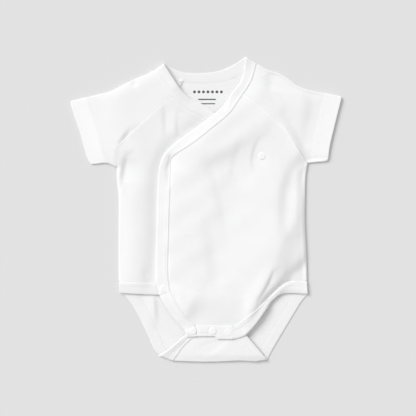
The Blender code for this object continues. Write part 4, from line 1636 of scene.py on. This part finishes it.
@dataclass
class NeckMark:
    """A plain printed mark inside the back of the neck: a row of dots over two bars."""

    name: str = "neck_mark"
    dots: tuple[float, ...] = (-13, -8, -3, 2, 7, 12, 17)
    dot_level: float = 131.0
    dot_radius: float = 1.6
    bars: Table = ((-9, 11, 122.6, 1.4), (-6, 10, 117.8, 1.2))  # left, right, level, how tall
    thickness: float = 0.05
    sunk: float = 0.02
    sides: int = 24

    def outlines(self) -> list[Array]:
        """The outline of each spot of ink, counterclockwise."""
        angles = np.arange(self.sides) * 2 * math.pi / self.sides
        round_spot = np.stack([np.cos(angles), np.sin(angles)], axis=1)
        shapes = [round_spot * self.dot_radius + np.array([x, self.dot_level]) for x in self.dots]
        for left, right, level, tall in self.bars:
            ends = np.where(round_spot[:, :1] > 0, right - tall / 2, left + tall / 2)
            shapes.append(np.hstack([ends, np.full_like(ends, level)]) + round_spot * tall / 2)
        return shapes

    def make(self, wardrobe: Wardrobe, height: Heights) -> Piece:
        """Lays the ink on the cloth as a thin film."""
        points: list[list[float]] = []
        faces: list[list[int]] = []
        for outline in self.outlines():
            base, count = len(points), len(outline)
            top = height(outline) + GAUGE.cloth / 2
            for level in (self.thickness, -self.sunk):
                points += [[*spot, z + level] for spot, z in zip(outline, top)]
            faces.append([base + i for i in range(count)])
            faces.append([base + count + i for i in reversed(range(count))])
            for i in range(count):
                after = (i + 1) % count
                faces.append([base + i, base + count + i, base + count + after, base + after])
        return worn(solid(self.name, np.array(points), faces, wardrobe.ink), "knit")


@dataclass
class Studio:
    """The pale surface, the soft light and the camera straight above."""

    view_width: float = 464.7
    centre: tuple[float, float] = (2.05, 1.41)
    lens: float = 90.0
    sensor: float = 36.0
    floor_size: float = 4.0  # in metres
    floor_colour: float = 0.735
    sky: float = 0.60
    key: float = 2.22
    key_elevation: float = 38.0
    key_bearing: float = 141.0
    key_softness: float = 32.0

    def build(self) -> None:
        """Sets up everything around the garment."""
        self.add_floor()
        self.add_light()
        self.add_camera()
        bpy.context.scene.view_settings.view_transform = "Standard"

    def add_floor(self) -> None:
        """A wide plain surface at z = 0."""
        mesh = bpy.data.meshes.new("surface")
        shape = bmesh.new()
        bmesh.ops.create_grid(shape, x_segments=1, y_segments=1, size=self.floor_size)
        shape.to_mesh(mesh)
        shape.free()
        made = bpy.data.materials.new("pale_surface")
        made.use_nodes = True
        shader = made.node_tree.nodes["Principled BSDF"]
        shader.inputs["Base Color"].default_value = (*[self.floor_colour] * 3, 1)
        shader.inputs["Roughness"].default_value = 1.0
        shader.inputs["Specular IOR Level"].default_value = 0.0
        mesh.materials.append(made)
        floor = linked("surface", mesh)

    def add_light(self) -> None:
        """An even sky and a broad key light from the upper left."""
        world = bpy.data.worlds.new("soft_room")
        world.use_nodes = True
        world.node_tree.nodes["Background"].inputs["Color"].default_value = (*[self.sky] * 3, 1)
        bpy.context.scene.world = world
        light = bpy.data.lights.new("key", "SUN")
        light.energy = self.key
        light.angle = math.radians(self.key_softness)
        bearing, elevation = math.radians(self.key_bearing), math.radians(self.key_elevation)
        level = math.cos(elevation)
        towards = Vector((math.cos(bearing) * level, math.sin(bearing) * level, math.sin(elevation)))
        key = linked("key", light)
        key.rotation_mode = "QUATERNION"
        key.rotation_quaternion = towards.to_track_quat("Z", "Y")

    def add_camera(self) -> None:
        """A camera that looks straight down, with the neck at the top of its view."""
        data = bpy.data.cameras.new("above")
        data.lens = self.lens
        data.sensor_width = self.sensor
        data.clip_start, data.clip_end = 0.05, 20
        camera = linked("above", data)
        x, y = self.centre
        height = self.view_width * self.lens / self.sensor
        camera.location = (x * METRES, y * METRES, height * METRES)
        bpy.context.scene.camera = camera


@dataclass
class Snap:
    """A round snap cap set down on the cloth."""

    node: str
    x: float
    y: float
    seat: float
    rise: float
    radius: float = 4.2
    sides: int = 40
    profile: Table = (  # from the middle out, as shares of the radius and of the rise
        (0.0, 0.93), (0.2, 0.935), (0.4, 0.95), (0.55, 0.98), (0.66, 1.0), (0.76, 0.97), (0.85, 0.85),
        (0.92, 0.66), (0.97, 0.42), (0.995, 0.18), (1.0, 0.0), (0.97, -0.15), (0.0, -0.15),
    )

    def make(self, wardrobe: Wardrobe) -> Piece:
        """Turns the cap's profile about its own axis."""
        points = [[0, 0, self.profile[0][1]]]
        for share, level in self.profile[1:-1]:
            for step in range(self.sides):
                angle = 2 * math.pi * step / self.sides
                points.append([share * math.cos(angle), share * math.sin(angle), level])
        points.append([0, 0, self.profile[-1][1]])
        scale = np.array([self.radius, self.radius, self.rise])
        placed = np.array(points) * scale + np.array([self.x, self.y, self.seat])
        faces = []
        rings = len(self.profile) - 2
        last = len(points) - 1
        for step in range(self.sides):
            after = (step + 1) % self.sides
            faces.append([0, 1 + step, 1 + after])
            for ring in range(rings - 1):
                low, high = 1 + ring * self.sides, 1 + (ring + 1) * self.sides
                faces.append([low + step, high + step, high + after, low + after])
            end = 1 + (rings - 1) * self.sides
            faces.append([last, end + after, end + step])
        cap = solid(self.node + "_cap", placed, faces, wardrobe.enamel)
        cap.data.shade_smooth()
        return worn(cap, "snap", self.node)


# Columns node, x, y, how thick the cloth under the cap is, how high the cap stands.
SNAPS = (
    ("snap_crotch_1", -14.6, -135.6, 1.45, 0.8),
    ("snap_crotch_2", 7.5, -135.3, 1.5, 0.6),
    ("snap_crotch_3", 24.6, -136.5, 1.5, 0.3),
    ("snap_wrap", -47.4, -88.5, 1.6, 0.55),
    ("snap_chest", 62.3, 59.3, GAUGE.cloth, 0.9),
)
BINDING_ROWS = (1.5, 4.7)  # how far from its seam a binding is stitched


def sleeves(lay: Lay) -> tuple[Sleeve, Sleeve]:
    """The left sleeve and the right one."""
    left = Sleeve(
        "sleeve_left",
        Side.LEFT,
        SHOULDER_LEFT,
        CUFF_LEFT,
        UNDERARM_LEFT,
        (RAGLAN_FRONT_LEFT, NECK_UNDER),
        (RAGLAN_BACK_LEFT, NECK_BACK),
        lay.under,
    )
    right = Sleeve(
        "sleeve_right",
        Side.RIGHT,
        SHOULDER_RIGHT,
        CUFF_RIGHT,
        UNDERARM_RIGHT,
        (RAGLAN_FRONT_RIGHT, NECK_OVER),
        (RAGLAN_BACK_RIGHT, NECK_BACK),
        lay.over,
        cuff_middle=2.8,
        cuff_reach=28.0,
        cuff_flatness=4.0,
    )
    return left, right


def bindings(lay: Lay) -> list[Binding]:
    """The bindings, in the order in which they are sewn on."""
    on_back = {"height": lay.back, "face": Face.DOWN, "ends_at_crease": True, "thickness": 1.15, "taper": 3}
    parts = {
        "neck_binding": [
            Stretch(NECK_UNDER, lay.under_binding, ends_at_crease=True, thickness=1.4, taper=2.0),
            Stretch(NECK_BACK, starts_at_crease=True, **on_back),
            Stretch(NECK_OVER, lay.over_binding, starts_at_crease=True, thickness=1.55, taper=1.5),
        ],
        "leg_binding_back_left": [
            Stretch(LEG_BACK_LEFT, **on_back),
            Stretch(FLAP_LEFT, lay.flap, starts_at_crease=True),
        ],
        "leg_binding_back_right": [
            Stretch(LEG_BACK_RIGHT, **on_back),
            Stretch(FLAP_RIGHT, lay.flap, starts_at_crease=True, thickness=1.4, taper=2.5),
        ],
        "hem_binding": [Stretch(HEM, lay.under_binding, thickness=1.5, taper=2.0)],
        "leg_binding_front_left": [Stretch(LEG_FRONT_LEFT, lay.over_binding, thickness=1.5)],
        "leg_binding_front_right": [Stretch(LEG_FRONT_RIGHT, lay.over_binding, thickness=1.5)],
    }
    return [Binding(node, stretches) for node, stretches in parts.items()]


def sew_sleeves(lay: Lay, wardrobe: Wardrobe, fronts: tuple[Panel, Panel]) -> list[Panel]:
    """Makes the sleeves and sews them to their fronts."""
    rows = StitchRows("panel_stitches", "knit", Thread.ALONG)
    panels = []
    for sleeve, front in zip(sleeves(lay), fronts):
        panels.append(sleeve.make(wardrobe))
        sleeve.stitch(rows, panels[-1].piece, front.piece, lay.back)
    rows.make(wardrobe.thread)
    return panels


def sew_bindings(lay: Lay, wardrobe: Wardrobe) -> None:
    """Makes the bindings and their two kinds of stitches."""
    face_rows = StitchRows("binding_stitches", "binding", Thread.ALONG)
    inner_rows = StitchRows("binding_loops", "binding", Thread.ACROSS, pitch=1.6, length=1.5, radius=0.16)
    for binding in bindings(lay):
        made = binding.make(wardrobe)
        for part in binding.stretches:
            for inset in BINDING_ROWS:
                row = binding.row(part, inset)
                if part.face is Face.UP:
                    face_rows.run(made, row, part.height)
                else:
                    inner_rows.run(made, row, part.height)
                    face_rows.run(made, row, part.height, from_above=False)
    face_rows.make(wardrobe.thread)
    inner_rows.make(wardrobe.thread)


def dress(wardrobe: Wardrobe) -> None:
    """Builds every piece of the garment in the order in which it is sewn."""
    lay = Lay()
    body = Body(lay, wardrobe)
    back, under, over = body.make_back(), body.make_under(), body.make_over()
    sleeve_panels = sew_sleeves(lay, wardrobe, (under, over))
    NeckMark().make(wardrobe, lay.back)
    sew_bindings(lay, wardrobe)
    CrotchBand(lay.over_binding).make(wardrobe)
    for node, x, y, thick, rise in SNAPS:
        seat = lay.over_binding(np.array([[x, y]]))[0] - GAUGE.cloth / 2 + thick
        Snap(node, x, y, seat, rise).make(wardrobe)
    back.declare(
        (0.212, 0.36),
        with_pieces=("leg_binding_back_left_rib", "leg_binding_back_right_rib", "neck_mark"),
    )
    under.declare((0.162, 0.21), ("back_panel_cloth",), ("hem_binding_rib",))
    over.declare(
        (0.157, 0.26),
        ("front_under_cloth", "back_panel_cloth"),
        (
            "neck_binding_rib",
            "leg_binding_front_left_rib",
            "leg_binding_front_right_rib",
            "crotch_band_rib",
        ),
    )
    for panel in sleeve_panels:
        panel.declare((0.21, 0.13))


def main() -> None:
    """Loads the frame, dresses it and builds the studio around it."""
    logging.basicConfig(level=logging.INFO, format="%(name)s: %(message)s")
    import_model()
    dress(Wardrobe.stocked())
    Studio().build()


if __name__ == "__main__":
    main()
